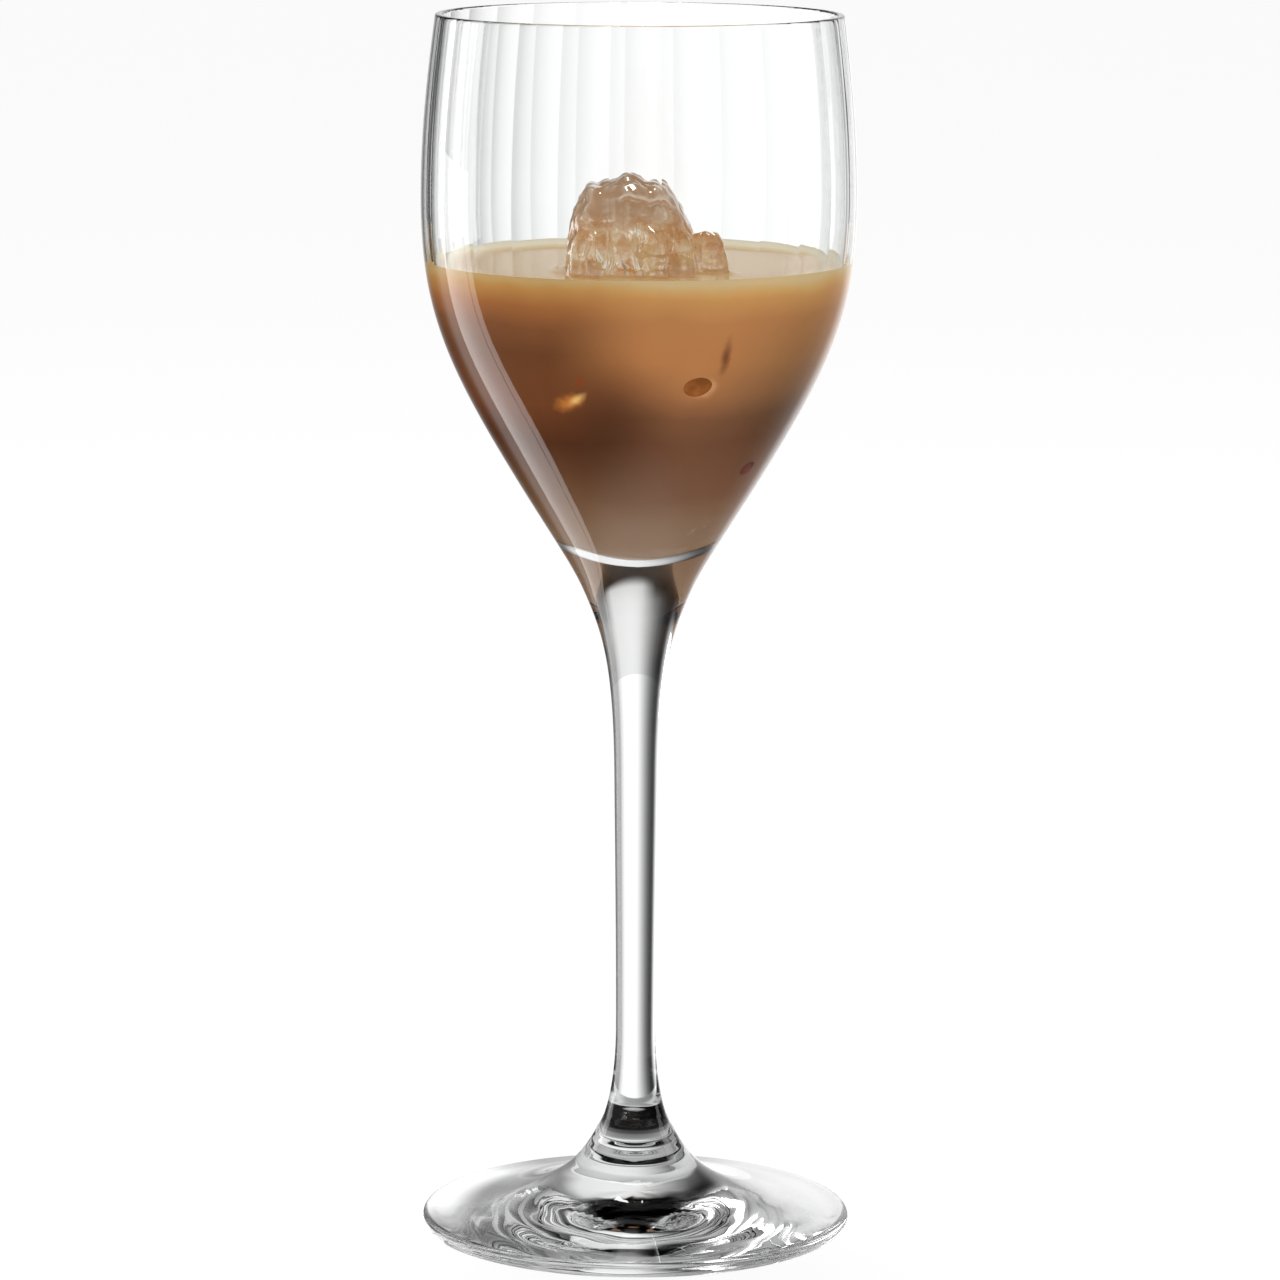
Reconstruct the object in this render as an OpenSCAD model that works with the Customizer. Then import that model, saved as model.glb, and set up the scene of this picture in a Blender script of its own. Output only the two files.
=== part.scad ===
// Long-stemmed liqueur glass with an optic-ribbed bowl, part filled with a cream drink on ice.
// Millimetres, +Z up. The origin is on the table, under the middle of the foot.

/* [Heights] */
// Height of the rim above the table
glass_h = 190; // [186:1:194]
// Height of the widest part of the bowl
belly_z = 162; // [160:0.5:164]
// Height of the flank, where the bowl has become a cone
flank_z = 118.5; // [117:0.5:120]
// Height of the lowest point inside the bowl
cavity_z = 107.5; // [106.5:0.1:108.5]
// Height of the weld between bowl and stem
bowl_weld_z = 101; // [99:0.5:102]
// Height where the throat under the bowl has become the slim shaft
shaft_z = 72; // [66:1:78]
// Height of the thinnest place, where the stem begins to flare
neck_z = 31; // [28:0.5:34]
// Height of the weld between stem and foot
foot_weld_z = 16; // [14.5:0.5:17.5]

/* [Diameters] */
// Outer diameter at the rim
rim_d = 62.6; // [60:0.2:64]
// Outer diameter at the belly, the widest part of the bowl
belly_d = 67; // [66:0.2:69]
// Outer diameter at the flank
flank_d = 37.7; // [36:0.1:39]
// Diameter at the weld between bowl and stem
bowl_weld_d = 16.8; // [15.6:0.2:18]
// Diameter of the shaft below the throat
shaft_d = 7; // [6.6:0.1:8]
// Diameter of the stem at its thinnest place
neck_d = 6.2; // [5.6:0.1:6.4]
// Diameter at the weld between stem and foot
foot_weld_d = 11.1; // [10.4:0.1:12]
// Diameter of the foot
foot_d = 67.3; // [64:0.1:72]

/* [Glass wall] */
// Thickness at the rim
rim_wall = 1.1; // [1:0.05:1.4]
// Thickness at the belly
belly_wall = 1.3; // [1.1:0.05:1.6]
// Thickness at the flank, square to the wall
flank_wall = 1.9; // [1.7:0.1:2.3]
// Rounding of the rim's inner and outer edge
lip_round = 0.4; // [0.2:0.05:0.45]
// Thickness of the foot at its edge
foot_edge = 2.3; // [1.8:0.1:2.8]
// Width of the ring that the foot rests on
rest_w = 1.5; // [1:0.1:3]
// Rise of the foot's hollow underside at its middle
foot_hollow = 1.4; // [0.6:0.1:2]

/* [Optic ribs] */
// Number of sharp ribs round the inside of the bowl
rib_count = 26; // [20:1:30]
// Height of a rib's crest over the middle of the shallow flutes beside it
rib_depth = 0.12; // [0.06:0.02:0.3]
// Turn of the first rib from the +X direction
rib_turn = -1; // [-6:0.5:6]

/* [Drink] */
// Level of the drink at the middle of its surface
fill_z = 151.6; // [149:0.2:154]
// Climb of the drink where it wets the glass
meniscus = 0.9; // [0.4:0.1:1.4]

/* [Ice] */
// Width of the lump that stands out of the drink
lump_w = 20.6; // [17:0.2:21]
// Height of the lump above the drink
lump_up = 14.7; // [11:0.1:18]
// Depth of the lump under the drink
lump_down = 5.2; // [4:0.1:5.4]
// Height of the chip frozen to the lump's side
chip_up = 6.8; // [4:0.1:9]
// Edge of the sunken cubes
cube_edge = 15; // [12.5:0.1:15.4]
// Room round the ice that lifts out of the drink
ice_gap = 0.3; // [0.2:0.05:0.5]

/* [Hidden] */

$fn = 96;

// Slope of the wall at each height above, as millimetres of radius for each millimetre of height
rim_slope = -0.133;
flank_slope = 0.608;
bowl_weld_slope = 0.445;
shaft_slope = 0.012;
foot_weld_slope = -0.57;
foot_edge_slope = -10.2;

// Pull of each curve towards its slope at a station, as a share of the curve's height, above and below the station
rim_pull = 0.27;
belly_pull = [0.39, 0.386];
flank_pull = [0.422, 0.505];
bowl_weld_pull = [0.244, 0.238];
shaft_pull = [0.588, 0.33];
neck_pull = [0.33, 0.367];
foot_weld_pull = [0.193, 0.423];
foot_edge_pull = 0.153;

// Points on the outside of the glass, as radius and height
rim = [rim_d / 2, glass_h - lip_round];
belly = [belly_d / 2, belly_z];
flank = [flank_d / 2, flank_z];
bowl_weld = [bowl_weld_d / 2, bowl_weld_z];
shaft_top = [shaft_d / 2, shaft_z];
neck = [neck_d / 2, neck_z];
foot_weld = [foot_weld_d / 2, foot_weld_z];
edge_round = foot_edge / 2;
edge_mid = [foot_d / 2 - edge_round, edge_round];
edge_top = [edge_mid[0], foot_edge];

// The same stations inside the bowl, in the middle of the flutes between the ribs
rim_in = [rim[0] - rim_wall, rim[1]];
belly_in = [belly[0] - belly_wall, belly_z];
flank_in = [flank[0] - flank_wall * sqrt(1 + flank_slope * flank_slope), flank_z];
// Reach of the round floor of the bowl before it turns up into the cone
floor_reach = 6;
floor_turn = 0.45;
// Pull of the foot's hollow underside towards its resting ring, and reach of its flat middle
hollow_pull = 4;
hollow_reach = 10.8;

// Each flute is drawn in this many straight steps
rib_steps = 4;
around = rib_count * rib_steps;
// The ribs have their full height out to this radius, and run out at the smaller one, above the floor
rib_full_r = 22;
rib_end_r = 9;

// The drink stops this far short of the glass, and the sunken ice short of the drink
wet_gap = 0.05;
// Thickness of the drink left between the sunken ice and the glass
ice_wall_gap = 0.15;

// Middle of the lump and of its chip, seen from above, and their half widths and half depths
lump_at = [-1.4, -11];
lump_plan = [lump_w / 2, 9.4];
chip_at = [11.1, -13.4];
chip_plan = [2.9, 3.1];
chip_down = 3.6;
// Middles of the sunken cubes, and their tilts
cube_left_at = [-9.6, -15, 136.8];
cube_left_tilt = [14, -12, 38];
cube_right_at = [8.6, -15.6, 138];
cube_right_tilt = [-10, 12, -24];
cube_low_at = [9.2, -3.4, 122.6];
cube_low_tilt = [28, 14, 40];
cube_low_scale = 0.86;

// Curves

// Four control points of a curve that falls from a to b, with the slope and the pull at each end
function sweep(a, a_slope, a_pull, b, b_slope, b_pull) =
    let (h = a[1] - b[1])
    [a, a - a_pull * h * [a_slope, 1], b + b_pull * h * [b_slope, 1], b];

// The point at t along a curve
function on_curve(c, t) =
    pow(1 - t, 3) * c[0] + 3 * pow(1 - t, 2) * t * c[1] + 3 * (1 - t) * t * t * c[2] + pow(t, 3) * c[3];

// A curve as n straight steps, without its last point, so that the next curve can follow
function steps(c, n) = [for (i = [0 : n - 1]) on_curve(c, i / n)];

// An arc round a middle point, from one angle to another in n steps
function arc(mid, r, from, to, n) =
    [for (i = [0 : n]) let (a = from + (to - from) * i / n) mid + r * [cos(a), sin(a)]];

// Outside of the bowl from the lip to the weld
bowl_line = concat(
    arc(rim - [lip_round, 0], lip_round, 90, 30, 2),
    steps(sweep(rim, rim_slope, rim_pull, belly, 0, belly_pull[0]), 6),
    steps(sweep(belly, 0, belly_pull[1], flank, flank_slope, flank_pull[0]), 9),
    steps(sweep(flank, flank_slope, flank_pull[1], bowl_weld, bowl_weld_slope, bowl_weld_pull[0]), 4),
    [bowl_weld]);

// Outside of the stem from one weld to the other
stem_line = concat(
    steps(sweep(bowl_weld, bowl_weld_slope, bowl_weld_pull[1], shaft_top, shaft_slope, shaft_pull[0]), 8),
    steps(sweep(shaft_top, shaft_slope, shaft_pull[1], neck, 0, neck_pull[0]), 4),
    steps(sweep(neck, 0, neck_pull[1], foot_weld, foot_weld_slope, foot_weld_pull[0]), 7),
    [foot_weld]);

// Top of the foot from the weld, over the rounded edge, to the hollow underside
foot_line = concat(
    steps(sweep(foot_weld, foot_weld_slope, foot_weld_pull[1], edge_top, foot_edge_slope, foot_edge_pull), 12),
    arc(edge_mid, edge_round, 90, -90, 8),
    steps([[edge_mid[0] - rest_w, 0], [edge_mid[0] - rest_w - hollow_pull, 0], [hollow_reach, foot_hollow],
           [0, foot_hollow]], 6),
    [[0, foot_hollow]]);

// Inside of the bowl from the lip down to its floor, in the middle of the flutes
cavity_line = concat(
    arc(rim_in + [lip_round, 0], lip_round, 90, 150, 2),
    steps(sweep(rim_in, rim_slope, rim_pull, belly_in, 0, belly_pull[0]), 4),
    steps(sweep(belly_in, 0, belly_pull[1], flank_in, flank_slope, flank_pull[0]), 7),
    steps([flank_in, flank_in - floor_turn * (flank_z - cavity_z) * [flank_slope, 1],
           [floor_reach, cavity_z], [0, cavity_z]], 6));

// Radius inside the bowl at height z, in the middle of a flute
function cavity_r(z) = lookup(z, [for (p = cavity_line) [p[1], p[0]]]);

// Optic ribs

// Share of a rib's height at angle a: all of it on the crest, none in the middle of a flute
function rib_share(a) =
    let (turns = (a - rib_turn) * rib_count / 360, u = turns - floor(turns))
    pow(2 * u - 1, 2);

// Ring of points round the inside of the ribbed wall, through the profile point p
function ribbed_ring(p, inset = 0) =
    [for (i = [0 : around - 1])
        let (a = rib_turn + 360 * i / around,
             depth = rib_depth * min(1, max(0, (p[0] - rib_end_r) / (rib_full_r - rib_end_r))),
             r = p[0] - inset - depth * rib_share(a))
        [r * cos(a), r * sin(a), p[1]]];

// Lofts

// Closed solid through rings of equal count, listed from the top down, between two end points
module loft(top, rings, bottom) {
    n = len(rings[0]);
    last = len(rings) * n;
    points = concat([for (ring = rings) each ring], [top, bottom]);
    faces = concat(
        [for (i = [0 : n - 1]) [last, (i + 1) % n, i]],
        [for (k = [0 : len(rings) - 2], i = [0 : n - 1])
            each let (a = k * n + i, b = k * n + (i + 1) % n) [[a, b, b + n], [a, b + n, a + n]]],
        [for (i = [0 : n - 1]) [last + 1, last - n + i, last - n + (i + 1) % n]]);
    polyhedron(points, faces);
}

// Outline of a block seen from above: round at power 2, square-shouldered at higher powers
function shoulder(a, power) = pow(pow(abs(cos(a)), power) + pow(abs(sin(a)), power), -1 / power);

// Slow waves that break up the outline of a lump, changing with height only above the drink
function broken(a, rise, seed) =
    1 + 0.05 * sin(3 * a + 77 * seed + 60 * rise) + 0.035 * sin(5 * a - 61 * seed)
      + 0.03 * sin(8 * a + 113 * seed + 130 * rise);

// Lump of ice that is widest at its waist, with half widths plan, and tapers upward and downward
module lump(plan, up, down, seed, power, sides, rows, grow = 0) {
    heights = [for (k = [1 : rows - 1]) cos(180 * k / rows)];
    rings = [for (s = heights) [for (i = [0 : sides - 1])
        let (a = 360 * i / sides,
             rise = max(s, 0),
             taper = sqrt(1 - pow(abs(s), 3.2)),
             k = taper * shoulder(a, power) * broken(a, rise, seed),
             z = s > 0 ? s * up * (1 + 0.05 * sin(2 * a + 50 * seed)) : s * down)
        [(plan[0] * k + grow) * cos(a), (plan[1] * k + grow) * sin(a), z + grow * sign(s)]]];
    loft([0, 0, up + grow], rings, [0, 0, -down - grow]);
}

// Space inside the bowl that the sunken ice may fill
module inside_bowl(gap) {
    rotate_extrude()
        polygon(concat(
            [for (p = cavity_line) if (p[0] > rib_depth + gap) [p[0] - rib_depth - gap, p[1]]],
            [[0, cavity_z + gap], [0, glass_h]]));
}

// Cube of ice with worn edges, before the wall of the bowl trims it
module worn_cube(at, tilt, size, seed, grow = 0) {
    half = size / 2;
    translate(at) rotate(tilt) lump([half, half], half, half, seed, 4, 20, 10, grow);
}

module lump_body(grow = 0) {
    translate([lump_at[0], lump_at[1], fill_z])
        lump(lump_plan, lump_up, lump_down, 1, 2.4, 28, 16, grow);
}

module chip_body(grow = 0) {
    translate([chip_at[0], chip_at[1], fill_z])
        lump(chip_plan, chip_up, chip_down, 2, 2.4, 14, 10, grow);
}

// Sub-parts

// Foot: a thin round plate that sweeps up to the weld, hollow underneath
module foot() {
    color("#e6ecee", 0.5)
        rotate_extrude() polygon(concat([[0, foot_weld_z]], foot_line));
}

// Stem: a solid rod drawn out from the throat under the bowl, flaring again at the foot
module stem() {
    color("#e6ecee", 0.5)
        rotate_extrude() polygon(concat([[0, bowl_weld_z]], stem_line, [[0, foot_weld_z]]));
}

// Bowl: smooth outside, with optic flutes inside that meet in sharp ribs
module bowl() {
    color("#e6ecee", 0.4)
        difference() {
            rotate_extrude() polygon(concat([[0, glass_h]], bowl_line, [[0, bowl_weld_z]]));
            loft([0, 0, glass_h + 1],
                 concat([ribbed_ring([cavity_line[0][0], glass_h + 1])],
                        [for (p = cavity_line) ribbed_ring(p)]),
                 [0, 0, cavity_z]);
        }
}

// Drink: fills the ribbed cavity up to its level, climbs where it wets the wall, and is hollow round the ice
module drink() {
    wall_z = fill_z + meniscus;
    wall_r = cavity_r(wall_z);
    // Inset from the wall and share of the climb at each step of the meniscus
    climb = [[3, 0.04], [1.5, 0.25], [0.5, 0.65], [0, 1]];
    color("#b57a45")
        difference() {
            loft([0, 0, fill_z],
                 concat([for (c = climb) ribbed_ring([wall_r - c[0], fill_z + c[1] * meniscus], wet_gap)],
                        [for (p = cavity_line) if (p[1] < wall_z - 0.5) ribbed_ring(p, wet_gap)]),
                 [0, 0, cavity_z + wet_gap]);
            lump_body(ice_gap);
            chip_body(ice_gap);
            worn_cube(cube_left_at, cube_left_tilt, cube_edge, 3, wet_gap);
            worn_cube(cube_right_at, cube_right_tilt, cube_edge, 4, wet_gap);
            worn_cube(cube_low_at, cube_low_tilt, cube_edge * cube_low_scale, 5, wet_gap);
        }
}

// Lump of ice that stands out of the drink
module ice_lump() {
    color("#c7a27a") lump_body();
}

// Chip of ice frozen to the right of the lump
module ice_chip() {
    color("#cfae88")
        difference() {
            chip_body();
            lump_body(wet_gap);
        }
}

// Sunken cube that leans on the front left of the bowl
module ice_cube_left() {
    color("#d8c2a4")
        intersection() {
            worn_cube(cube_left_at, cube_left_tilt, cube_edge, 3);
            inside_bowl(ice_wall_gap);
        }
}

// Sunken cube that leans on the front right of the bowl
module ice_cube_right() {
    color("#d8c2a4")
        intersection() {
            worn_cube(cube_right_at, cube_right_tilt, cube_edge, 4);
            inside_bowl(ice_wall_gap);
        }
}

// Smaller cube wedged low in the cone of the bowl
module ice_cube_low() {
    color("#d8c2a4")
        intersection() {
            worn_cube(cube_low_at, cube_low_tilt, cube_edge * cube_low_scale, 5);
            inside_bowl(ice_wall_gap);
        }
}

foot();
stem();
bowl();
drink();
ice_lump();
ice_chip();
ice_cube_left();
ice_cube_right();
ice_cube_low();
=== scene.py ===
# %% [markdown]
# A long-stemmed liqueur glass, about half full of a milky coffee liqueur on ice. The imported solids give
# every size and place. This lesson dresses them: clear glass that bends light as one piece, a cloudy drink,
# and ice that is wet with it. Lengths in the values below are millimetres, as on a drawing, and the factor
# MM turns them into Blender's metres.

# %% Load the frame
import math

import bmesh
import bpy
import numpy as np
from mathutils import Euler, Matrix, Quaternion, Vector


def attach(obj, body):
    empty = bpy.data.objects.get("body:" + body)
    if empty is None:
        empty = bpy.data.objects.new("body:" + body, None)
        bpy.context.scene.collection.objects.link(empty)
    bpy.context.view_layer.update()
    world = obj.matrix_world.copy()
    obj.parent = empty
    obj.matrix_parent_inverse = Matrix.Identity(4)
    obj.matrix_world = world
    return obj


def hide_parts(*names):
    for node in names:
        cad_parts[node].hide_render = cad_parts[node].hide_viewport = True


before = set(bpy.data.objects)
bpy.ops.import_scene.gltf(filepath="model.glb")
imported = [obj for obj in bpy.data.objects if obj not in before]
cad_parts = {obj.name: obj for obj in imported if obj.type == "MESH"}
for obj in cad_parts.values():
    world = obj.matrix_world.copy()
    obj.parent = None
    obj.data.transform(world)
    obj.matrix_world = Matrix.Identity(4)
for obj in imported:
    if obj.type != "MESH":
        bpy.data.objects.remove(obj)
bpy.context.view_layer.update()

MM = 0.001
scene = bpy.context.scene
scene.view_settings.view_transform = "Standard"


def add_object(name, data):
    """An object for a mesh, a lamp or a camera, linked to the scene."""
    made = bpy.data.objects.new(name, data)
    scene.collection.objects.link(made)
    return made


# %% [markdown]
# Light runs back and forth many times in thick glass before it finds a way out. Blender follows it for a
# few turns only, and the light that is still inside then shows as black patches in the foot. Brighter lamps
# would not reach those patches, so the limit on turns goes up instead.

# %% Turns of light
LIGHT_TURNS, GLOSSY_TURNS = 32, 24
scene.cycles.max_bounces = LIGHT_TURNS
scene.cycles.glossy_bounces = GLOSSY_TURNS
scene.cycles.transmission_bounces = LIGHT_TURNS
print("light may turn", LIGHT_TURNS, "times")

# %% [markdown]
# The camera comes early, so that every later step can be judged in the picture that it is made for. The
# photograph was taken with a long lens from just above the rim, looking down about ten degrees. A long lens
# keeps the sides of the glass nearly parallel. The tiny roll is in the photograph too.

# %% Camera
FRAME_PX = 1280
FOCAL_PX = 5726
SENSOR_MM = 36.0
CAMERA_AT = (0.43, -877.0, 242.5)
CAMERA_DOWN_DEG = 9.67
CAMERA_ROLL_DEG = 0.25
FARTHEST_SEEN = 20000.0

camera_data = bpy.data.cameras.new("camera")
camera_data.sensor_width = SENSOR_MM
camera_data.lens = FOCAL_PX / FRAME_PX * SENSOR_MM
camera_data.clip_end = FARTHEST_SEEN * MM
camera = add_object("camera", camera_data)
camera.location = Vector(CAMERA_AT) * MM
camera.rotation_mode = "QUATERNION"
camera_tilt = Quaternion((1, 0, 0), math.radians(90 - CAMERA_DOWN_DEG))
camera_roll = Quaternion((0, 0, 1), math.radians(CAMERA_ROLL_DEG))
camera.rotation_quaternion = camera_tilt @ camera_roll
scene.camera = camera
print("lens", round(camera_data.lens, 1), "mm")

# %% [markdown]
# Glass is drawn by its outline. Each stretch of the outline is one cubic curve that leaves one station with
# a given slope and arrives at the next with another, just as in the solids, but cut much finer here,
# because refraction shows every facet that the eye would forgive on a painted surface.

# %% Stations of the outline
GLASS_H, BELLY_Z, FLANK_Z, CAVITY_Z = 190.0, 162.0, 118.5, 107.5
BOWL_WELD_Z, SHAFT_Z, NECK_Z, FOOT_WELD_Z = 101.0, 72.0, 31.0, 16.0
RIM_D, BELLY_D, FLANK_D, BOWL_WELD_D = 62.6, 67.0, 37.7, 16.8
SHAFT_D, NECK_D, FOOT_WELD_D, FOOT_D = 7.0, 6.2, 11.1, 67.3
RIM_WALL, BELLY_WALL, FLANK_WALL, LIP_ROUND = 1.1, 1.3, 1.9, 0.4
FOOT_EDGE, REST_W, FOOT_HOLLOW = 2.3, 1.5, 1.4
RIM_SLOPE, FLANK_SLOPE, BOWL_WELD_SLOPE = -0.133, 0.608, 0.445
SHAFT_SLOPE, FOOT_WELD_SLOPE, FOOT_EDGE_SLOPE = 0.012, -0.57, -10.2

RIM = (RIM_D / 2, GLASS_H - LIP_ROUND)
BELLY = (BELLY_D / 2, BELLY_Z)
FLANK = (FLANK_D / 2, FLANK_Z)
BOWL_WELD = (BOWL_WELD_D / 2, BOWL_WELD_Z)
SHAFT = (SHAFT_D / 2, SHAFT_Z)
NECK = (NECK_D / 2, NECK_Z)
FOOT_WELD = (FOOT_WELD_D / 2, FOOT_WELD_Z)
EDGE_MID = (FOOT_D / 2 - FOOT_EDGE / 2, FOOT_EDGE / 2)
EDGE_TOP = (EDGE_MID[0], FOOT_EDGE)
RIM_IN = (RIM[0] - RIM_WALL, RIM[1])
BELLY_IN = (BELLY[0] - BELLY_WALL, BELLY_Z)
FLANK_IN = (FLANK[0] - FLANK_WALL * math.hypot(1, FLANK_SLOPE), FLANK_Z)
print("wall at the flank", round(FLANK[0] - FLANK_IN[0], 2), "mm across")

# %% Curves between the stations


def sweep(a, a_slope, a_pull, b, b_slope, b_pull):
    """Control points of a curve that falls from a to b, with a slope and a pull at each end."""
    a, b = np.array(a, float), np.array(b, float)
    h = a[1] - b[1]
    return [a, a - a_pull * h * np.array([a_slope, 1]), b + b_pull * h * np.array([b_slope, 1]), b]


def steps(control, n):
    """A cubic curve as n points, without its last one, so that the next curve can follow."""
    c = np.array(control, float)
    t = np.arange(n)[:, None] / n
    return (1 - t) ** 3 * c[0] + 3 * (1 - t) ** 2 * t * c[1] + 3 * (1 - t) * t * t * c[2] + t**3 * c[3]


def arc(mid, r, start, end, n):
    """An arc of n steps round mid, from one angle to another in degrees."""
    a = np.radians(np.linspace(start, end, n + 1))
    return np.array(mid) + r * np.stack([np.cos(a), np.sin(a)], 1)


print("a quarter turn in two steps", arc((0, 0), 1, 0, 90, 2).round(2).tolist())

# %% Outline of the bowl
RIM_PULL, BELLY_PULL, FLANK_PULL, BOWL_WELD_PULL = 0.27, (0.39, 0.386), (0.422, 0.505), (0.244, 0.238)
FLOOR_REACH, FLOOR_TURN = 6.0, 0.45
LIP_END_DEG = 15
LIP_STEPS, RIM_STEPS, SIDE_STEPS, THROAT_STEPS, FLOOR_STEPS = 5, 24, 40, 24, 36


def wall_line(lip_middle_r, lip_end_deg, rim, belly, flank):
    """The wall of the bowl from the lip down to the flank, on its outside or its inside."""
    return [arc((lip_middle_r, rim[1]), LIP_ROUND, 90, lip_end_deg, LIP_STEPS),
            steps(sweep(rim, RIM_SLOPE, RIM_PULL, belly, 0, BELLY_PULL[0]), RIM_STEPS),
            steps(sweep(belly, 0, BELLY_PULL[1], flank, FLANK_SLOPE, FLANK_PULL[0]), SIDE_STEPS)]


throat = sweep(FLANK, FLANK_SLOPE, FLANK_PULL[1], BOWL_WELD, BOWL_WELD_SLOPE, BOWL_WELD_PULL[0])
bowl_line = np.concatenate([
    *wall_line(RIM[0] - LIP_ROUND, LIP_END_DEG, RIM, BELLY, FLANK), steps(throat, THROAT_STEPS), [BOWL_WELD]])
floor_turn = np.array(FLANK_IN) - FLOOR_TURN * (FLANK_Z - CAVITY_Z) * np.array([FLANK_SLOPE, 1])
cavity_line = np.concatenate([
    *wall_line(RIM_IN[0] + LIP_ROUND, 180 - LIP_END_DEG, RIM_IN, BELLY_IN, FLANK_IN),
    steps([FLANK_IN, floor_turn, (FLOOR_REACH, CAVITY_Z), (0, CAVITY_Z)], FLOOR_STEPS)])
print("bowl points outside and inside", len(bowl_line), len(cavity_line))

# %% Outline of the stem and the foot
SHAFT_PULL, NECK_PULL, FOOT_WELD_PULL, FOOT_EDGE_PULL = (0.588, 0.33), (0.33, 0.367), (0.193, 0.423), 0.153
HOLLOW_PULL, HOLLOW_REACH = 4.0, 10.8
DRAWN_STEPS, SHAFT_STEPS, FLARE_STEPS = 40, 24, 96
PLATE_STEPS, EDGE_STEPS, UNDER_STEPS = 160, 18, 64

drawn = sweep(BOWL_WELD, BOWL_WELD_SLOPE, BOWL_WELD_PULL[1], SHAFT, SHAFT_SLOPE, SHAFT_PULL[0])
stem_line = np.concatenate([
    steps(drawn, DRAWN_STEPS),
    steps(sweep(SHAFT, SHAFT_SLOPE, SHAFT_PULL[1], NECK, 0, NECK_PULL[0]), SHAFT_STEPS),
    steps(sweep(NECK, 0, NECK_PULL[1], FOOT_WELD, FOOT_WELD_SLOPE, FOOT_WELD_PULL[0]), FLARE_STEPS),
    [FOOT_WELD]])
plate = sweep(FOOT_WELD, FOOT_WELD_SLOPE, FOOT_WELD_PULL[1], EDGE_TOP, FOOT_EDGE_SLOPE, FOOT_EDGE_PULL)
rest_r = EDGE_MID[0] - REST_W
underside = [(rest_r, 0), (rest_r - HOLLOW_PULL, 0), (HOLLOW_REACH, FOOT_HOLLOW), (0, FOOT_HOLLOW)]
foot_line = np.concatenate([
    steps(plate, PLATE_STEPS),
    arc(EDGE_MID, FOOT_EDGE / 2, 90, -90, EDGE_STEPS),
    steps(underside, UNDER_STEPS)])
print("stem points", len(stem_line), "foot points", len(foot_line))

# %% [markdown]
# Everything turned on the Z axis can be one grid of rings. A helper takes the rings in order along the
# outline, from one point on the axis to another, and makes quads between them, so the mesh is closed. A
# Screw modifier would do for plain turned glass, but not for the flutes, which change each ring. Smooth
# shading hides the facets, and edges marked sharp keep a crease where the real glass has one.

# %% Rings and their faces


def ring(r, z, angles, cut=0.0):
    """One ring of points at height z. The cut, which may change with the angle, is taken off the radius."""
    radius = np.full(len(angles), r) - cut
    return np.stack([radius * np.cos(angles), radius * np.sin(angles), np.full(len(angles), z)], 1)


def ring_faces(rows, n):
    """Quads between neighbouring rings, then a fan to each end point; the end points follow the rings."""
    i = np.arange(n)
    j = (i + 1) % n
    k = np.arange(rows - 1)[:, None] * n
    quads = np.stack([k + i, k + j, k + n + j, k + n + i], 2).reshape(-1, 4)
    start, last_row = rows * n, (rows - 1) * n
    start_fan = np.stack([np.full(n, start), j, i], 1)
    end_fan = np.stack([np.full(n, start + 1), last_row + i, last_row + j], 1)
    return quads.tolist() + start_fan.tolist() + end_fan.tolist()


print("faces of two rings of four points", len(ring_faces(2, 4)))

# %% Creases


def mark_sharp(mesh, rows, n, sharp_rows, sharp_columns, column_rows):
    """Mark whole rings as sharp, and columns between two rows."""
    pairs = np.zeros(len(mesh.edges) * 2, np.int32)
    mesh.edges.foreach_get("vertices", pairs)
    pairs = pairs.reshape(-1, 2)
    row, column = pairs // n, pairs % n
    low, high = column_rows
    along_ring = (row[:, 0] == row[:, 1]) & np.isin(row[:, 0], sharp_rows)
    along_column = (column[:, 0] == column[:, 1]) & np.isin(column[:, 0], sharp_columns)
    along_column &= (row.min(1) >= low) & (row.max(1) <= high)
    sharp = (pairs < rows * n).all(1) & (along_ring | along_column)
    mesh.attributes.new("sharp_edge", "BOOLEAN", "EDGE").data.foreach_set("value", sharp)
    print(mesh.name, int(sharp.sum()), "sharp edges")


def shade_smooth(mesh):
    """Smooth shading on every face."""
    mesh.polygons.foreach_set("use_smooth", np.ones(len(mesh.polygons), bool))


# %% Ring meshes


def ring_mesh(name, start_z, rings, end_z, row_slots, sharp_rows, sharp_columns=(), column_rows=(0, 0)):
    """A closed piece through rings of equal count, between two points on the axis, all in millimetres."""
    rings = np.array(rings)
    rows, n = rings.shape[:2]
    points = np.concatenate([rings.reshape(-1, 3), [(0, 0, start_z), (0, 0, end_z)]]) * MM
    mesh = bpy.data.meshes.new(name)
    mesh.from_pydata(points.tolist(), [], ring_faces(rows, n))
    shade_smooth(mesh)
    fan_slots = [row_slots[0]] * n + [row_slots[-1]] * n
    slots = np.concatenate([np.repeat(row_slots[1:-1], n), fan_slots])
    mesh.polygons.foreach_set("material_index", slots.astype(np.int32))
    mark_sharp(mesh, rows, n, sharp_rows, sharp_columns, column_rows)
    mesh.update()
    print(name, len(mesh.vertices), "points", len(mesh.polygons), "faces")
    return add_object(name, mesh)


# %% [markdown]
# The stem is plain turned glass, welded hot to the bowl and to the foot, so light runs straight through the
# welds. The mesh keeps its flat ends, so that it is a closed solid, and the ends get a finish of their own
# that light doesn't notice. Just above the lower weld the real glass has a fine ragged line, made here as a
# groove of a twentieth of a millimetre, since glass shows a groove far better than any paint.

# %% Stem
AROUND = 192
round_angles = np.radians(np.arange(AROUND) * 360 / AROUND)
GLASS_SLOT, WELD_SLOT = 0, 1
SEAM_Z, SEAM_HALF, SEAM_DEPTH = 17.4, 0.3, 0.05
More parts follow.
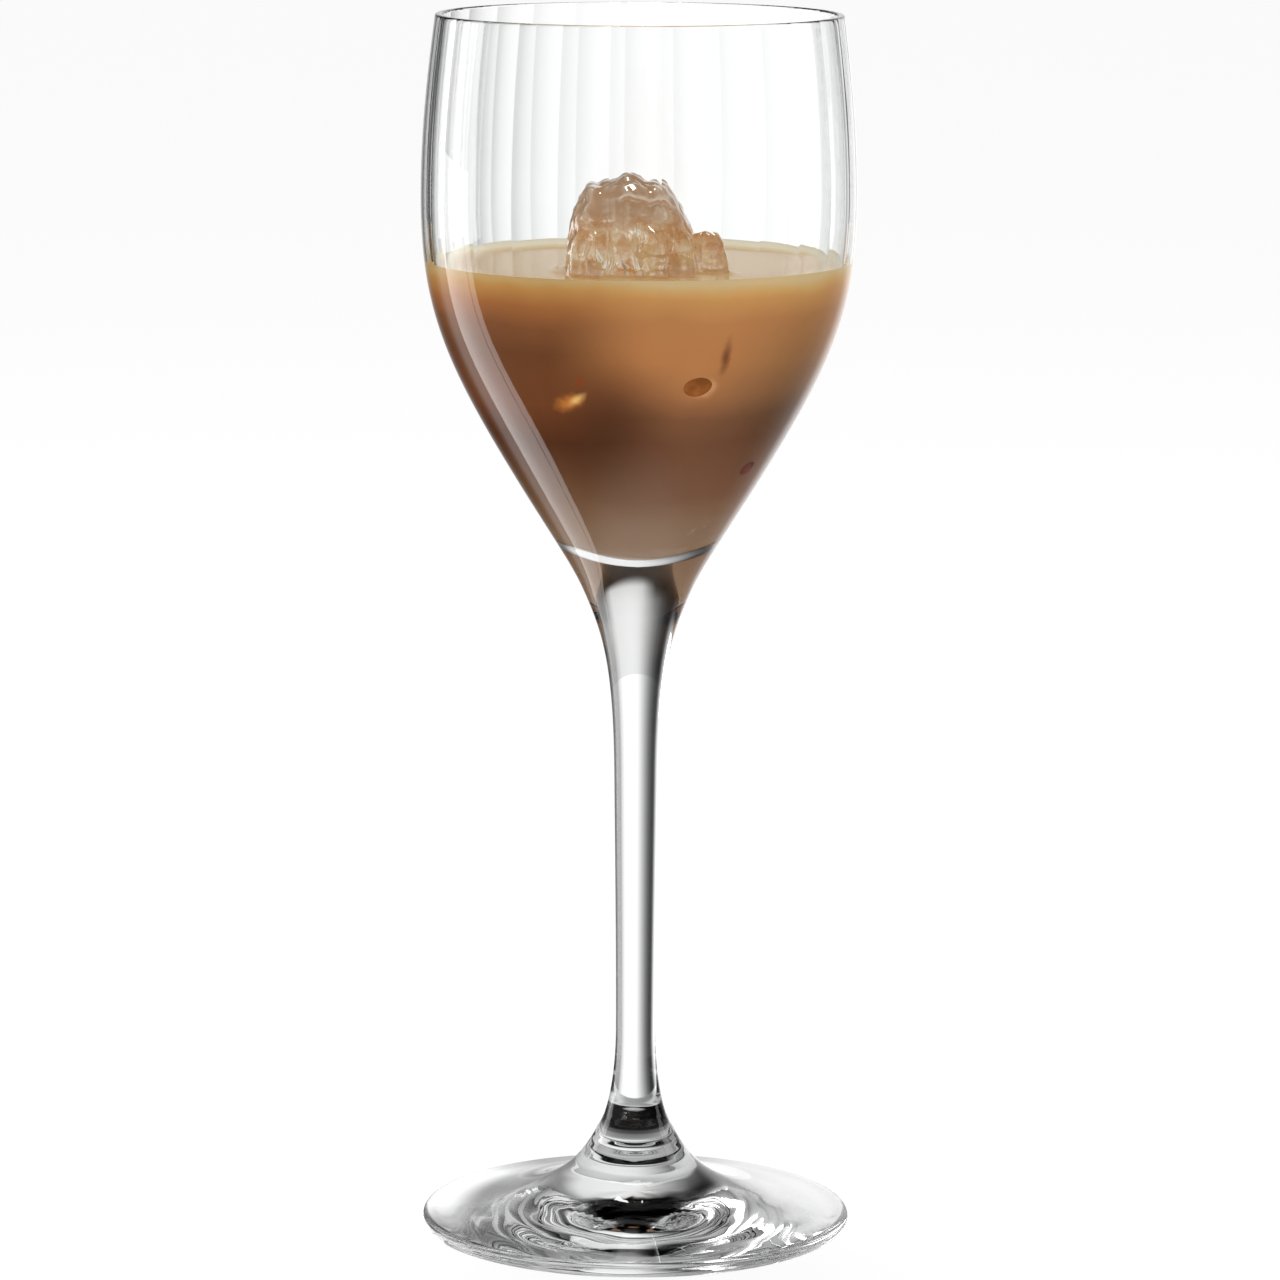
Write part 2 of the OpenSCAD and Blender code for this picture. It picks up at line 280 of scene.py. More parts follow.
# Height, count round the stem and turn of the waves that make the seam ragged.
SEAM_WAVES = [(0.15, 7, 1.0), (0.1, 17, 0.0)]


def cut_back(rings, depth):
    """Take a depth off the radius of every point of some rings."""
    rings[..., :2] *= 1 - (depth / np.hypot(rings[..., 0], rings[..., 1]))[..., None]


stem_rings = np.array([ring(r, z, round_angles) for r, z in stem_line[::-1]])
ragged_z = SEAM_Z + sum(high * np.sin(count * round_angles + turn) for high, count, turn in SEAM_WAVES)
cut_back(stem_rings, SEAM_DEPTH * np.exp(-(((stem_rings[..., 2] - ragged_z) / SEAM_HALF) ** 2)))
stem_slots = [WELD_SLOT] + [GLASS_SLOT] * (len(stem_rings) - 1) + [WELD_SLOT]
stem = ring_mesh("stem_glass", FOOT_WELD_Z, stem_rings, BOWL_WELD_Z, stem_slots, (0, len(stem_rings) - 1))

# %% [markdown]
# The foot is a plate that was spun out while hot. The hollow under it is left as it cooled, with waves of
# less than a tenth of a millimetre that curl the reflections in it, and its flare keeps faint rings from
# the turning. A bump map could fake both, but light that is trapped in the plate meets them many times, so
# they are real.

# %% Waves
RIPPLE_WAVES, RIPPLE_TURN = 5, 7
RIPPLE_HIGH, RIPPLE_SHORTER, RIPPLE_LOWER = 0.45, 0.55, 0.6


def ripple(points, size, seed, octaves=3):
    """Smooth random bumps between about -1 and 1, from a few crossed waves of random direction."""
    rng = np.random.default_rng(seed)
    total = np.zeros(len(points))
    for octave in range(octaves):
        for _ in range(RIPPLE_WAVES):
            wave = rng.normal(size=3)
            wave *= 2 * math.pi / (size * RIPPLE_SHORTER**octave) / np.linalg.norm(wave)
            high = RIPPLE_HIGH * RIPPLE_LOWER**octave
            total += high * np.sin(points @ wave + rng.uniform(0, RIPPLE_TURN))
    return total


def share_between(value, low, high):
    """0 at one value and 1 at another, straight between them and level beyond."""
    return np.clip((value - low) / (high - low), 0, 1)


print("halfway", share_between(1.5, 1, 2))

# %% Foot
UNDER_WAVE, UNDER_WAVE_LONG, UNDER_TURN = 0.07, 8.5, 8.0
UNDER_MIDDLE_R, UNDER_CALM_R = 5.0, (31.0, 28.0)
FLARE_RINGS, FLARE_LONG = 0.008, 1.2
FLARE_START, FLARE_END = (9.0, 11.0), (15.9, 14.9)

foot_rings = np.array([ring(r, z, round_angles) for r, z in foot_line[::-1]])
hollow = foot_rings[:UNDER_STEPS]
hollow_r = np.hypot(hollow[..., 0], hollow[..., 1])
turn_x, turn_y = UNDER_TURN * hollow[..., 0] / hollow_r, UNDER_TURN * hollow[..., 1] / hollow_r
turned = np.stack([hollow_r, turn_x, turn_y], 2)
swirl = ripple(turned.reshape(-1, 3), UNDER_WAVE_LONG, seed=12, octaves=2).reshape(hollow_r.shape)
wavy = share_between(hollow_r, *UNDER_CALM_R) * share_between(hollow_r, 0, UNDER_MIDDLE_R)
hollow[..., 2] += UNDER_WAVE * wavy * share_between(swirl, -1, 1)
foot_z = foot_rings[..., 2]
on_flare = share_between(foot_z, *FLARE_START) * share_between(foot_z, *FLARE_END)
cut_back(foot_rings, FLARE_RINGS * on_flare * (1 + np.sin(2 * math.pi * foot_z / FLARE_LONG)))
foot_slots = [GLASS_SLOT] * len(foot_rings) + [WELD_SLOT]
foot = ring_mesh("foot_glass", FOOT_HOLLOW, foot_rings, FOOT_WELD_Z, foot_slots, (len(foot_rings) - 1,))

# %% [markdown]
# The bowl's charm is its optic: a ring of very shallow flutes inside that meet in sharp ribs, while the
# outside stays smooth. Every flute is a weak lens that bends the view a degree or two, so the white
# background turns into a row of soft grey stripes, each with one crisp edge. The ribs are marked sharp, or
# smooth shading would wash that edge out.

# %% Flutes
RIB_COUNT, RIB_DEPTH, RIB_TURN_DEG = 26, 0.12, -1.0
RIB_FULL_R, RIB_END_R = 22.0, 9.0
RIB_STEPS = 12
rib_around = RIB_COUNT * RIB_STEPS
rib_angles = np.radians(RIB_TURN_DEG + np.arange(rib_around) * 360 / rib_around)
rib_share = (2 * (np.arange(rib_around) % RIB_STEPS) / RIB_STEPS - 1) ** 2


def rib_height(r):
    """Height of the ribs round a ring of this radius. They run out above the floor of the bowl."""
    return RIB_DEPTH * share_between(r, RIB_END_R, RIB_FULL_R) * rib_share


print("highest rib", rib_height(RIB_FULL_R).max(), "mm")

# %% Bowl
outside_rings = [ring(r, z, rib_angles) for r, z in bowl_line[::-1]]
inside_rings = [ring(r, z, rib_angles, rib_height(r)) for r, z in cavity_line]
bowl_rings = outside_rings + inside_rings
bowl_slots = [WELD_SLOT] + [GLASS_SLOT] * len(bowl_rings)
bowl = ring_mesh("bowl_glass", BOWL_WELD_Z, bowl_rings, CAVITY_Z, bowl_slots, (0,),
                 sharp_columns=np.arange(0, rib_around, RIB_STEPS),
                 column_rows=(len(outside_rings), len(bowl_rings) - 1))

# %% [markdown]
# The drink takes the shape of the bowl. Its sides reach a hair into the glass, so that no film of air is
# left between the two, because that film would mirror light like a second wall. At the top the drink climbs
# a little where it wets the glass, and round the ice. A boolean cut of the bowl would give the sides too,
# but rings keep the mesh even. Sides and top are two finishes: only the top shines, since the sides lie on
# glass.

# %% Sides of the drink
FILL_Z, MENISCUS, WET_OVERLAP = 151.6, 0.9, 0.12
SIDE_SLOT, TOP_SLOT = 0, 1
SIDE_TOP_GAP = 0.3
up_cavity = cavity_line[::-1]


def wall_radius(z):
    """Radius of the bowl's inside at a height, in the middle of a flute."""
    return np.interp(z, up_cavity[:, 1], up_cavity[:, 0])


wall_z = FILL_Z + MENISCUS
wall_r = wall_radius(wall_z)
side_points = [p for p in up_cavity if p[1] < wall_z - SIDE_TOP_GAP] + [(wall_r, wall_z)]
side_rings = [ring(r + WET_OVERLAP, z, rib_angles, rib_height(r)) for r, z in side_points]
print("the drink meets the wall at", round(wall_z, 2), "mm, where the radius is", round(wall_r, 2))

# %% Top of the drink
CLIMB_REACH, CLIMB_FADE, CLIMB_STEPS, POOL_STEPS = 5.0, 0.9, 14, 70
# Middle and half widths of the ice where it stands in the surface, and the climb of the drink round it.
LUMP_AT_LEVEL = np.array([-1.3, -11.0]), np.array([10.5, 9.3])
CHIP_AT_LEVEL = np.array([11.0, -13.4]), np.array([2.7, 2.9])
ICE_CLIMB, ICE_CLIMB_REACH, ICE_SHOULDER = 0.5, 0.7, 2.6

top_rings = []
for s in np.linspace(0, 1, CLIMB_STEPS + 1)[1:]:
    inset = CLIMB_REACH * s * s
    climb_z = FILL_Z + MENISCUS * math.exp(-inset / CLIMB_FADE)
    top_rings.append(ring(wall_r + WET_OVERLAP - inset, climb_z, rib_angles, rib_height(wall_r) * (1 - s)))
pool_r = wall_r + WET_OVERLAP - CLIMB_REACH
for s in np.linspace(1, 0, POOL_STEPS + 1)[1:-1]:
    top_rings.append(ring(pool_r * s, FILL_Z, rib_angles))
for ice_at, ice_half in (LUMP_AT_LEVEL, CHIP_AT_LEVEL):
    for water in top_rings:
        off = np.abs((water[:, :2] - ice_at) / ice_half)
        away = ((off**ICE_SHOULDER).sum(1) ** (1 / ICE_SHOULDER) - 1) * min(ice_half)
        water[:, 2] += ICE_CLIMB * np.exp(-np.abs(away) / ICE_CLIMB_REACH)
drink_slots = [SIDE_SLOT] * len(side_rings) + [TOP_SLOT] * (len(top_rings) + 1)
drink = ring_mesh("liqueur", side_points[0][1] - WET_OVERLAP, side_rings + top_rings, FILL_Z, drink_slots,
                  (len(side_rings) - 1,))

# %% [markdown]
# A lump of melting ice is a loaf with a ragged crest: seen from the front its outline has knobs and
# notches, and seen from the side each slice is a rounded arch. So the mesh is a grid, with the crest line
# one way and the arch the other. Sculpting by hand would do as well, but a grid can be worked on with
# numbers. A voxel remesh then makes one even skin of it, and a little smoothing rounds it as melting does.

# %% Loaf of ice
CREST_BLUR, BLUR_HALF = 3.5, 8
END_DEPTH = 0.62


def along(line, count):
    """A polyline as count points, evenly spaced along its length."""
    line = np.array(line, float)
    run = np.concatenate([[0], np.cumsum(np.linalg.norm(np.diff(line, axis=0), axis=1))])
    at = np.linspace(0, run[-1], count)
    return np.stack([np.interp(at, run, line[:, k]) for k in range(line.shape[1])], 1)


def ice_loaf(crest, middle_y, half_depth, base_z, columns, slices, squareness):
    """Points of a loaf of ice: a crest line of (x, z) with an arch across it at every point."""
    line = along(crest, columns)
    blur = np.exp(-((np.arange(-BLUR_HALF, BLUR_HALF + 1) / CREST_BLUR) ** 2))
    line[:, 1] = np.convolve(np.pad(line[:, 1], BLUR_HALF, "edge"), blur / blur.sum(), "valid")
    arch = np.linspace(0, math.pi, slices)
    across = -np.sign(np.cos(arch)) * np.abs(np.cos(arch)) ** squareness
    height = np.abs(np.sin(arch)) ** squareness
    share = share_between(line[:, 1], base_z, line[:, 1].max())
    depth = half_depth * (END_DEPTH + (1 - END_DEPTH) * np.sqrt(share))
    x = np.repeat(line[:, :1], slices, 1)
    y = middle_y + depth[:, None] * across
    z = base_z + (line[:, 1:] - base_z) * height
    return np.stack([x, y, z], 2)


print("a line of two in three points", along([(0, 0), (2, 0)], 3).tolist())

# %% Skin of ice
WELD_WITHIN, SOFTEN = 0.01, 0.5


def grid_mesh(name, grids):
    """A closed mesh over some grids of points, whose last slice joins the first."""
    points, faces = [], []
    for grid in grids:
        columns, slices = grid.shape[:2]
        k = np.arange(columns - 1)[:, None] * slices + len(points)
        i = np.arange(slices)
        j = (i + 1) % slices
        faces += np.stack([k + i, k + slices + i, k + slices + j, k + j], 2).reshape(-1, 4).tolist()
        points += (grid.reshape(-1, 3) * MM).tolist()
    mesh = bpy.data.meshes.new(name)
    mesh.from_pydata(points, [], faces)
    bm = bmesh.new()
    bm.from_mesh(mesh)
    bmesh.ops.remove_doubles(bm, verts=bm.verts, dist=WELD_WITHIN * MM)
    bmesh.ops.holes_fill(bm, edges=[e for e in bm.edges if e.is_boundary])
    bmesh.ops.recalc_face_normals(bm, faces=bm.faces)
    bm.to_mesh(mesh)
    bm.free()
    return mesh


def loaf_mesh(name, grids, voxel, smooth_passes):
    """One skin over some grids of points, evened out by a voxel remesh and rounded by smoothing."""
    mesh = grid_mesh(name, grids)
    piece = add_object(name, mesh)
    melt = piece.modifiers.new("melt", "REMESH")
    melt.mode = "VOXEL"
    melt.voxel_size = voxel * MM
    soften = piece.modifiers.new("soften", "SMOOTH")
    soften.factor = SOFTEN
    soften.iterations = smooth_passes
    graph = bpy.context.evaluated_depsgraph_get()
    piece.data = bpy.data.meshes.new_from_object(piece.evaluated_get(graph))
    piece.modifiers.clear()
    bpy.data.meshes.remove(mesh)
    piece.data.name = name
    shade_smooth(piece.data)
    piece.data.update()
    print(name, len(piece.data.vertices), "points")
    return piece


# %% [markdown]
# Melting leaves marks of its own. Where the drink has washed up and down, the ice stands in round columns
# side by side. Elsewhere each drop that ran off left a shallow hollow, and neighbouring hollows meet in
# ridges. All of these could come from plain noise, but that has no ridges and no columns, so each mark has
# its own small rule.

# %% Melt marks
HOLLOW_STRETCH = np.array([1, 1, 0.6])
COLUMN_MEAN = 0.6


def scallop(points, count, reach, seed):
    """Melt marks: 0 in the middle of a hollow, rising to sharp ridges between it and the next ones."""
    rng = np.random.default_rng(seed)
    middles = points[rng.integers(0, len(points), count)] * HOLLOW_STRETCH
    nearest = np.full(len(points), np.inf)
    for middle in middles:
        nearest = np.minimum(nearest, ((points * HOLLOW_STRETCH - middle) ** 2).sum(1))
    return np.minimum(1, nearest / reach**2)


def column_bulge(x, edges):
    """Round columns side by side, proud in the middle and cut back at the edges, and each one's number."""
    edges = np.array(edges)
    k = np.clip(np.searchsorted(edges, x) - 1, 0, len(edges) - 2)
    u = 2 * (x - edges[k]) / (edges[k + 1] - edges[k]) - 1
    return np.sqrt(np.maximum(0, 1 - u * u)) - COLUMN_MEAN, k


def soft_step(value, soft):
    """0 well below zero and 1 well above it, with a soft step between."""
    return 1 / (1 + np.exp(-value / soft))


def outward(points, middle):
    """Directions of length 1 from a middle to some points."""
    away = points - middle
    return away / np.linalg.norm(away, axis=1)[:, None]


print("halfway up a soft step", soft_step(0.0, 1.0))

# %% [markdown]
# The lump stands in front of the middle. Its crest was measured in the photograph, as heights over the
# table, in the few points that its knobs and notches need. Near the top a ledge overhangs the front, and
# below it the washed columns end at heights of their own. The back can't be seen, so it has plainer
# columns.

# %% Crest of the lump
LUMP_CREST = [(-11.3, 147.0), (-11.5, 150.8), (-11.2, 154.8), (-10.2, 160.2), (-9.2, 162.6), (-7.9, 164.6),
              (-6.9, 165.2), (-5.6, 164.5), (-4.0, 165.6), (-2.6, 166.5), (-1.4, 166.6), (0.1, 166.1),
              (1.8, 165.2), (2.7, 165.7), (3.6, 165.1), (4.4, 164.1), (6.2, 161.3), (8.0, 158.4),
              (8.8, 154.5), (9.0, 150.8), (8.8, 147.0)]
LUMP_MIDDLE_Y, LUMP_HALF_DEPTH, LUMP_BASE_Z = -11.0, 9.6, 146.6
LUMP_MIDDLE = np.array([-1.2, LUMP_MIDDLE_Y, 154.0])
LUMP_GRID, ICE_SQUARENESS, FACE_REACH = (240, 220), 0.62, 5.0

lump_grid = ice_loaf(LUMP_CREST, LUMP_MIDDLE_Y, LUMP_HALF_DEPTH, LUMP_BASE_Z, *LUMP_GRID, ICE_SQUARENESS)
lump_points = lump_grid.reshape(-1, 3)
lump_front = share_between(lump_points[:, 1], LUMP_MIDDLE_Y, LUMP_MIDDLE_Y - FACE_REACH)
lump_back = share_between(lump_points[:, 1], LUMP_MIDDLE_Y, LUMP_MIDDLE_Y + FACE_REACH)
print("lump", len(lump_points), "grid points")

# %% Ledge of the lump
LEDGE = np.array([(-4.0, 163.2), (-1.4, 163.6), (0.2, 163.1), (1.7, 162.7), (3.2, 162.9), (5.0, 162.0),
                  (7.6, 160.3)])
LEDGE_END, LEDGE_SOFT, LEDGE_PROUD, LEDGE_CUT, LEDGE_CUT_TALL = 1.5, 0.12, 0.4, 1.0, 3.0

over = lump_points[:, 2] - np.interp(lump_points[:, 0], LEDGE[:, 0], LEDGE[:, 1])
from_left = share_between(lump_points[:, 0], LEDGE[0, 0], LEDGE[0, 0] + LEDGE_END)
from_right = share_between(lump_points[:, 0], LEDGE[-1, 0], LEDGE[-1, 0] - LEDGE_END)
on_ledge = soft_step(over, LEDGE_SOFT)
cut_below = LEDGE_CUT * (1 - on_ledge) * np.exp(np.minimum(over, 0) / LEDGE_CUT_TALL)
lump_points[:, 1] += from_left * from_right * lump_front * (cut_below - LEDGE_PROUD * on_ledge)
print("ledge", len(LEDGE), "points")

# %% Washed columns of the lump
# Edges between the columns on the front and on the back, and how proud and how tall each front one is.
FRONT_COLUMNS = [-11.8, -7.6, -4.3, -1.1, 0.8, 4.3, 9.4]
FRONT_PROUD = np.array([-0.2, 0.5, -0.6, 0.3, 0.6, 0.0])
FRONT_TOPS = np.array([157.5, 158.6, 155.8, 160.0, 158.6, 157.4])
BACK_COLUMNS = [-11.8, -8.2, -5.0, -2.2, 1.4, 3.8, 6.4, 9.4]
COLUMN_BULGE, COLUMN_SHELF = 1.3, 0.18
WANDER, WANDER_UP, WANDER_ACROSS = 0.3, 0.9, 0.6

bend = lump_points[:, 2] * WANDER_UP + WANDER_ACROSS * lump_points[:, 0]
wander_x = lump_points[:, 0] + WANDER * np.sin(bend)
front_bulge, k = column_bulge(wander_x, FRONT_COLUMNS)
below_top = soft_step(FRONT_TOPS[k] - lump_points[:, 2], COLUMN_SHELF)
lump_points[:, 1] -= lump_front * below_top * (COLUMN_BULGE * front_bulge + FRONT_PROUD[k])
back_bulge, _ = column_bulge(wander_x, BACK_COLUMNS)
lump_points[:, 1] += lump_back * COLUMN_BULGE * back_bulge
print("columns", len(FRONT_PROUD), "in front and", len(BACK_COLUMNS) - 1, "behind")

# %% Lump
LUMP_RIPPLE, LUMP_RIPPLE_LONG, SCALLOP, MARKS_START = 0.16, 4.5, 0.4, 3.0
SCALLOP_COUNT, SCALLOP_REACH, SCALLOP_MEAN = 90, 2.6, 0.5
LUMP_VOXEL, LUMP_PASSES = 0.2, 2

hollows = scallop(lump_points, SCALLOP_COUNT, SCALLOP_REACH, seed=6) - SCALLOP_MEAN
marks = LUMP_RIPPLE * ripple(lump_points, LUMP_RIPPLE_LONG, seed=3) + SCALLOP * lump_front * hollows
marks *= share_between(lump_points[:, 2], LUMP_BASE_Z, LUMP_BASE_Z + MARKS_START)
lump_points += outward(lump_points, LUMP_MIDDLE) * marks[:, None]
lump = loaf_mesh("ice_lump_crystal", [lump_points.reshape(lump_grid.shape)], LUMP_VOXEL, LUMP_PASSES)

# %% [markdown]
# The chip is a smaller piece that froze to the right side of the lump. It is a loaf as well, with three
# columns and faint ripples. It stays a piece of its own, since two bits of ice that froze together still
# show a seam.

# %% Chip
CHIP_CREST = [(7.6, 148.4), (7.6, 153.0), (7.8, 157.2), (8.9, 157.7), (9.9, 158.1), (10.7, 158.4),
              (11.5, 157.7), (12.3, 156.4), (13.1, 153.9), (13.7, 151.6), (13.6, 148.4)]
CHIP_MIDDLE_Y, CHIP_HALF_DEPTH, CHIP_BASE_Z = -13.4, 3.0, 148.2
CHIP_MIDDLE = np.array([11.0, CHIP_MIDDLE_Y, 153.0])
CHIP_GRID, CHIP_FACE_REACH = (90, 80), 1.5
CHIP_COLUMNS, CHIP_BULGE = [7.4, 9.9, 12.0, 14.0], 0.6
CHIP_RIPPLE, CHIP_RIPPLE_LONG, CHIP_VOXEL, CHIP_PASSES = 0.1, 3.0, 0.16, 1

chip_grid = ice_loaf(CHIP_CREST, CHIP_MIDDLE_Y, CHIP_HALF_DEPTH, CHIP_BASE_Z, *CHIP_GRID, ICE_SQUARENESS)
chip_points = chip_grid.reshape(-1, 3)
chip_front = share_between(chip_points[:, 1], CHIP_MIDDLE_Y, CHIP_MIDDLE_Y - CHIP_FACE_REACH)
chip_bulge, _ = column_bulge(chip_points[:, 0], CHIP_COLUMNS)
chip_points[:, 1] -= CHIP_BULGE * chip_bulge * chip_front
chip_marks = CHIP_RIPPLE * ripple(chip_points, CHIP_RIPPLE_LONG, seed=5)
chip_points += outward(chip_points, CHIP_MIDDLE) * chip_marks[:, None]
chip = loaf_mesh("ice_chip_crystal", [chip_points.reshape(chip_grid.shape)], CHIP_VOXEL, CHIP_PASSES)

# %% [markdown]
# Three more pieces of ice are sunk in the drink. The cream hides them, apart from the spots where two of
# them lean on the glass and show as dark ovals. So plain rounded cubes will do, and those two get a blunt
# nose that reaches through the drink to the wall. The third stays hidden inside.

# %% Noses of ice
NOSE_DEPTH, NOSE_PROUD = 4.0, 0.5
NOSE_WIDE, NOSE_TAPER, NOSE_BLUNT = 1.6, 0.4, 8
NOSE_AROUND, NOSE_ROWS = 48, 24
UP = np.array([0, 0, 1])


def nose(bearing_deg, z, half_w, half_h, slant_deg):
    """A blunt nose of ice that reaches out to the wall, as a grid of rings round its axis."""
    b, slant = math.radians(bearing_deg), math.radians(slant_deg)
    out = np.array([math.sin(b), -math.cos(b), 0])
    side = np.array([math.cos(b), math.sin(b), 0])
    wide = math.cos(slant) * side + math.sin(slant) * UP
    tall = -math.sin(slant) * side + math.cos(slant) * UP
    tip = wall_radius(z) + WET_OVERLAP + NOSE_PROUD
    a = np.linspace(0, 2 * math.pi, NOSE_AROUND, endpoint=False)
    oval_ring = half_w * np.cos(a)[:, None] * wide + half_h * np.sin(a)[:, None] * tall
    rows = []
    for t in np.linspace(0, 1, NOSE_ROWS):
        width = math.sqrt(1 - t**NOSE_BLUNT) * (NOSE_WIDE - NOSE_TAPER * t)
        middle = out * (tip - NOSE_DEPTH * (1 - t)) + z * UP
        rows.append(middle + width * oval_ring)
    return np.array(rows)


print("a nose reaches", NOSE_DEPTH, "mm from its tip")

# %% Sunken ice
CUBE_EDGE, CUBE_CLEAR, CUBE_BASE_DROP = 15.0, 0.8, 0.1
CUBE_GRID, CUBE_SQUARENESS, CUBE_VOXEL, CUBE_PASSES = (60, 60), 0.4, 0.2, 1
# Middle, tilt and scale of each cube, then the spots where it leans on the glass: bearing to the right of the
# front in degrees, height, half width, half height and slant.
SUNKEN = {
    "ice_cube_left": ((-9.6, -15.0, 136.8), (14, -12, 38), 0.84, []),
    "ice_cube_right": ((8.6, -15.6, 138.0), (-10, 12, -24), 0.84, [(19.2, 136.7, 1.95, 1.5, 10)]),
    "ice_cube_low": ((9.2, -3.4, 122.6), (28, 14, 40), 0.70, [(57.0, 122.6, 1.3, 1.0, 30)]),
}

sunken_pieces = {}
for cad_node, (at, tilt_deg, scale, spots) in SUNKEN.items():
    half = CUBE_EDGE * scale / 2
    outline = [(-half, -half), (-half, half), (half, half), (half, -half)]
    cube = ice_loaf(outline, 0, half, -half - CUBE_BASE_DROP, *CUBE_GRID, CUBE_SQUARENESS)
    cube = cube @ np.array(Euler(np.radians(tilt_deg)).to_matrix()).T + np.array(at)
    room = wall_radius(cube[..., 2]) - CUBE_CLEAR
    cube[..., :2] *= np.minimum(1, room / np.hypot(cube[..., 0], cube[..., 1]))[..., None]
    grids = [cube] + [nose(*spot) for spot in spots]
    sunken_pieces[cad_node] = loaf_mesh(cad_node + "_crystal", grids, CUBE_VOXEL, CUBE_PASSES)

# %% [markdown]
# Finishes are node trees. They could be wired by hand in the shader editor. In code, a few helpers keep
# each one short: an input takes either a plain value or another node's output, and each kind of node that
# comes up often has a short helper.

# %% Node helpers


def feed(tree, value, socket):
    """Link an input to another node's output, or set a plain value or colour on it."""
    if isinstance(value, bpy.types.NodeSocket):
        tree.links.new(value, socket)
    elif socket.type == "RGBA":
        socket.default_value = (*value, 1)
    else:
        socket.default_value = value


def fill(tree, made, **inputs):
    """Feed the inputs of a node by name; an underscore stands for a space."""
    for key, value in inputs.items():
        feed(tree, value, made.inputs[key.replace("_", " ")])


def node(tree, kind, settings=None, **inputs):
    """A node with plain settings and with its inputs fed by name."""
    made = tree.nodes.new(kind)
    for key, value in (settings or {}).items():
        setattr(made, key, value)
    fill(tree, made, **inputs)
    return made


def new_finish(name):
    """A material with an empty tree, its Principled shader and its output."""
    finish = bpy.data.materials.new(name)
    finish.use_nodes = True
    tree = finish.node_tree
    tree.nodes.clear()
    output = tree.nodes.new("ShaderNodeOutputMaterial")
    shader = tree.nodes.new("ShaderNodeBsdfPrincipled")
    tree.links.new(shader.outputs[0], output.inputs[0])
    return finish, tree, shader, output


def dress(piece, *finishes):
    """Give a piece its finishes, in the order of its material slots."""
    for finish in finishes:
        piece.data.materials.append(finish)
        print(piece.name, "wears", finish.name, "of", len(finish.node_tree.nodes), "nodes")


# %% Sums and mixes
# Inputs A and B of a Mix node and its output, for numbers and for colours.
NUMBER_MIX, COLOUR_MIX = (2, 3, 0), (6, 7, 2)
GIVES_NUMBER = ("DISTANCE", "LENGTH", "DOT_PRODUCT")


def maths(tree, operation, *values, clamp=False):
    """A sum of numbers."""
    made = node(tree, "ShaderNodeMath", {"operation": operation, "use_clamp": clamp})
    for value, socket in zip(values, made.inputs):
        feed(tree, value, socket)
    return made.outputs[0]


def vector_maths(tree, operation, *values):
    """A sum of vectors, which gives a number or a vector."""
    made = node(tree, "ShaderNodeVectorMath", {"operation": operation})
    for value, socket in zip(values, made.inputs):
        feed(tree, value, socket)
    return made.outputs["Value" if operation in GIVES_NUMBER else "Vector"]


def times(tree, a, b):
    """Product of two numbers."""
    return maths(tree, "MULTIPLY", a, b)


def level(tree, value, low, high, to_low=0.0, to_high=1.0, kind="SMOOTHSTEP"):
    """One number at a low value and another at a high one, smooth between them unless a kind is given."""
    made = node(tree, "ShaderNodeMapRange", {"interpolation_type": kind}, Value=value, From_Min=low,
                From_Max=high, To_Min=to_low, To_Max=to_high)
    return made.outputs[0]


def mix_numbers(tree, factor, a, b):
    """Number a where the factor is 0 and b where it is 1."""
    made = node(tree, "ShaderNodeMix", {"data_type": "FLOAT"})
    for value, k in ((factor, 0), (a, NUMBER_MIX[0]), (b, NUMBER_MIX[1])):
        feed(tree, value, made.inputs[k])
    return made.outputs[NUMBER_MIX[2]]


def mix_colours(tree, factor, a, b, blend="MIX"):
    """Colour a where the factor is 0, and b, or a multiplied by b, where it is 1."""
    made = node(tree, "ShaderNodeMix", {"data_type": "RGBA", "blend_type": blend})
    for value, k in ((factor, 0), (a, COLOUR_MIX[0]), (b, COLOUR_MIX[1])):
        feed(tree, value, made.inputs[k])
    return made.outputs[COLOUR_MIX[2]]


def mix_shaders(tree, factor, a, b, output):
    """Shader a where the factor is 0 and b where it is 1, sent to the output."""
    made = tree.nodes.new("ShaderNodeMixShader")
    for source, socket in zip((factor, a.outputs[0], b.outputs[0]), made.inputs):
        tree.links.new(source, socket)
    tree.links.new(made.outputs[0], output.inputs[0])


# %% Places and ramps


def object_place(tree):
    """Place on the piece, in its own frame."""
    return tree.nodes.new("ShaderNodeTexCoord").outputs["Object"]


def axes(tree, place):
    """The X, Y and Z of a place, by name."""
    return node(tree, "ShaderNodeSeparateXYZ", Vector=place).outputs


def clouds(tree, scale, **settings):
    """Soft noise over the piece."""
    return node(tree, "ShaderNodeTexNoise", Vector=object_place(tree), Scale=scale, **settings).outputs["Fac"]


def ramp(tree, share, stops):
    """Colour along a ramp, from stops of (share, colour)."""
    made = node(tree, "ShaderNodeValToRGB", Fac=share)
    elements = made.color_ramp.elements
    while len(elements) < len(stops):
        elements.new(0.5)
    for element, (at, colour) in zip(elements, stops):
        element.position = at
        element.color = (*colour, 1)
    return made.outputs[0]


# %% [markdown]
# Clear glass needs only three numbers: no roughness, full transmission and the index of crystal. Two rays
# get a short cut. Light on its way from a lamp, and light that a matt surface gathers, go straight through,
# since a path tracer would otherwise leave the drink behind the glass in the dark.

# %% Clear glass
GLASS_IOR, GLASS_COLOUR, GLASS_PASSES = 1.5, (0.985, 0.992, 0.99), (0.97, 0.975, 0.975)


def pass_light(tree, shader, output, colour):
    """Let lamp light and light gathered by matt surfaces straight through, tinted at each surface."""
    path = tree.nodes.new("ShaderNodeLightPath").outputs
    either = maths(tree, "MAXIMUM", path["Is Shadow Ray"], path["Is Diffuse Ray"])
    mix_shaders(tree, either, shader, node(tree, "ShaderNodeBsdfTransparent", Color=colour), output)


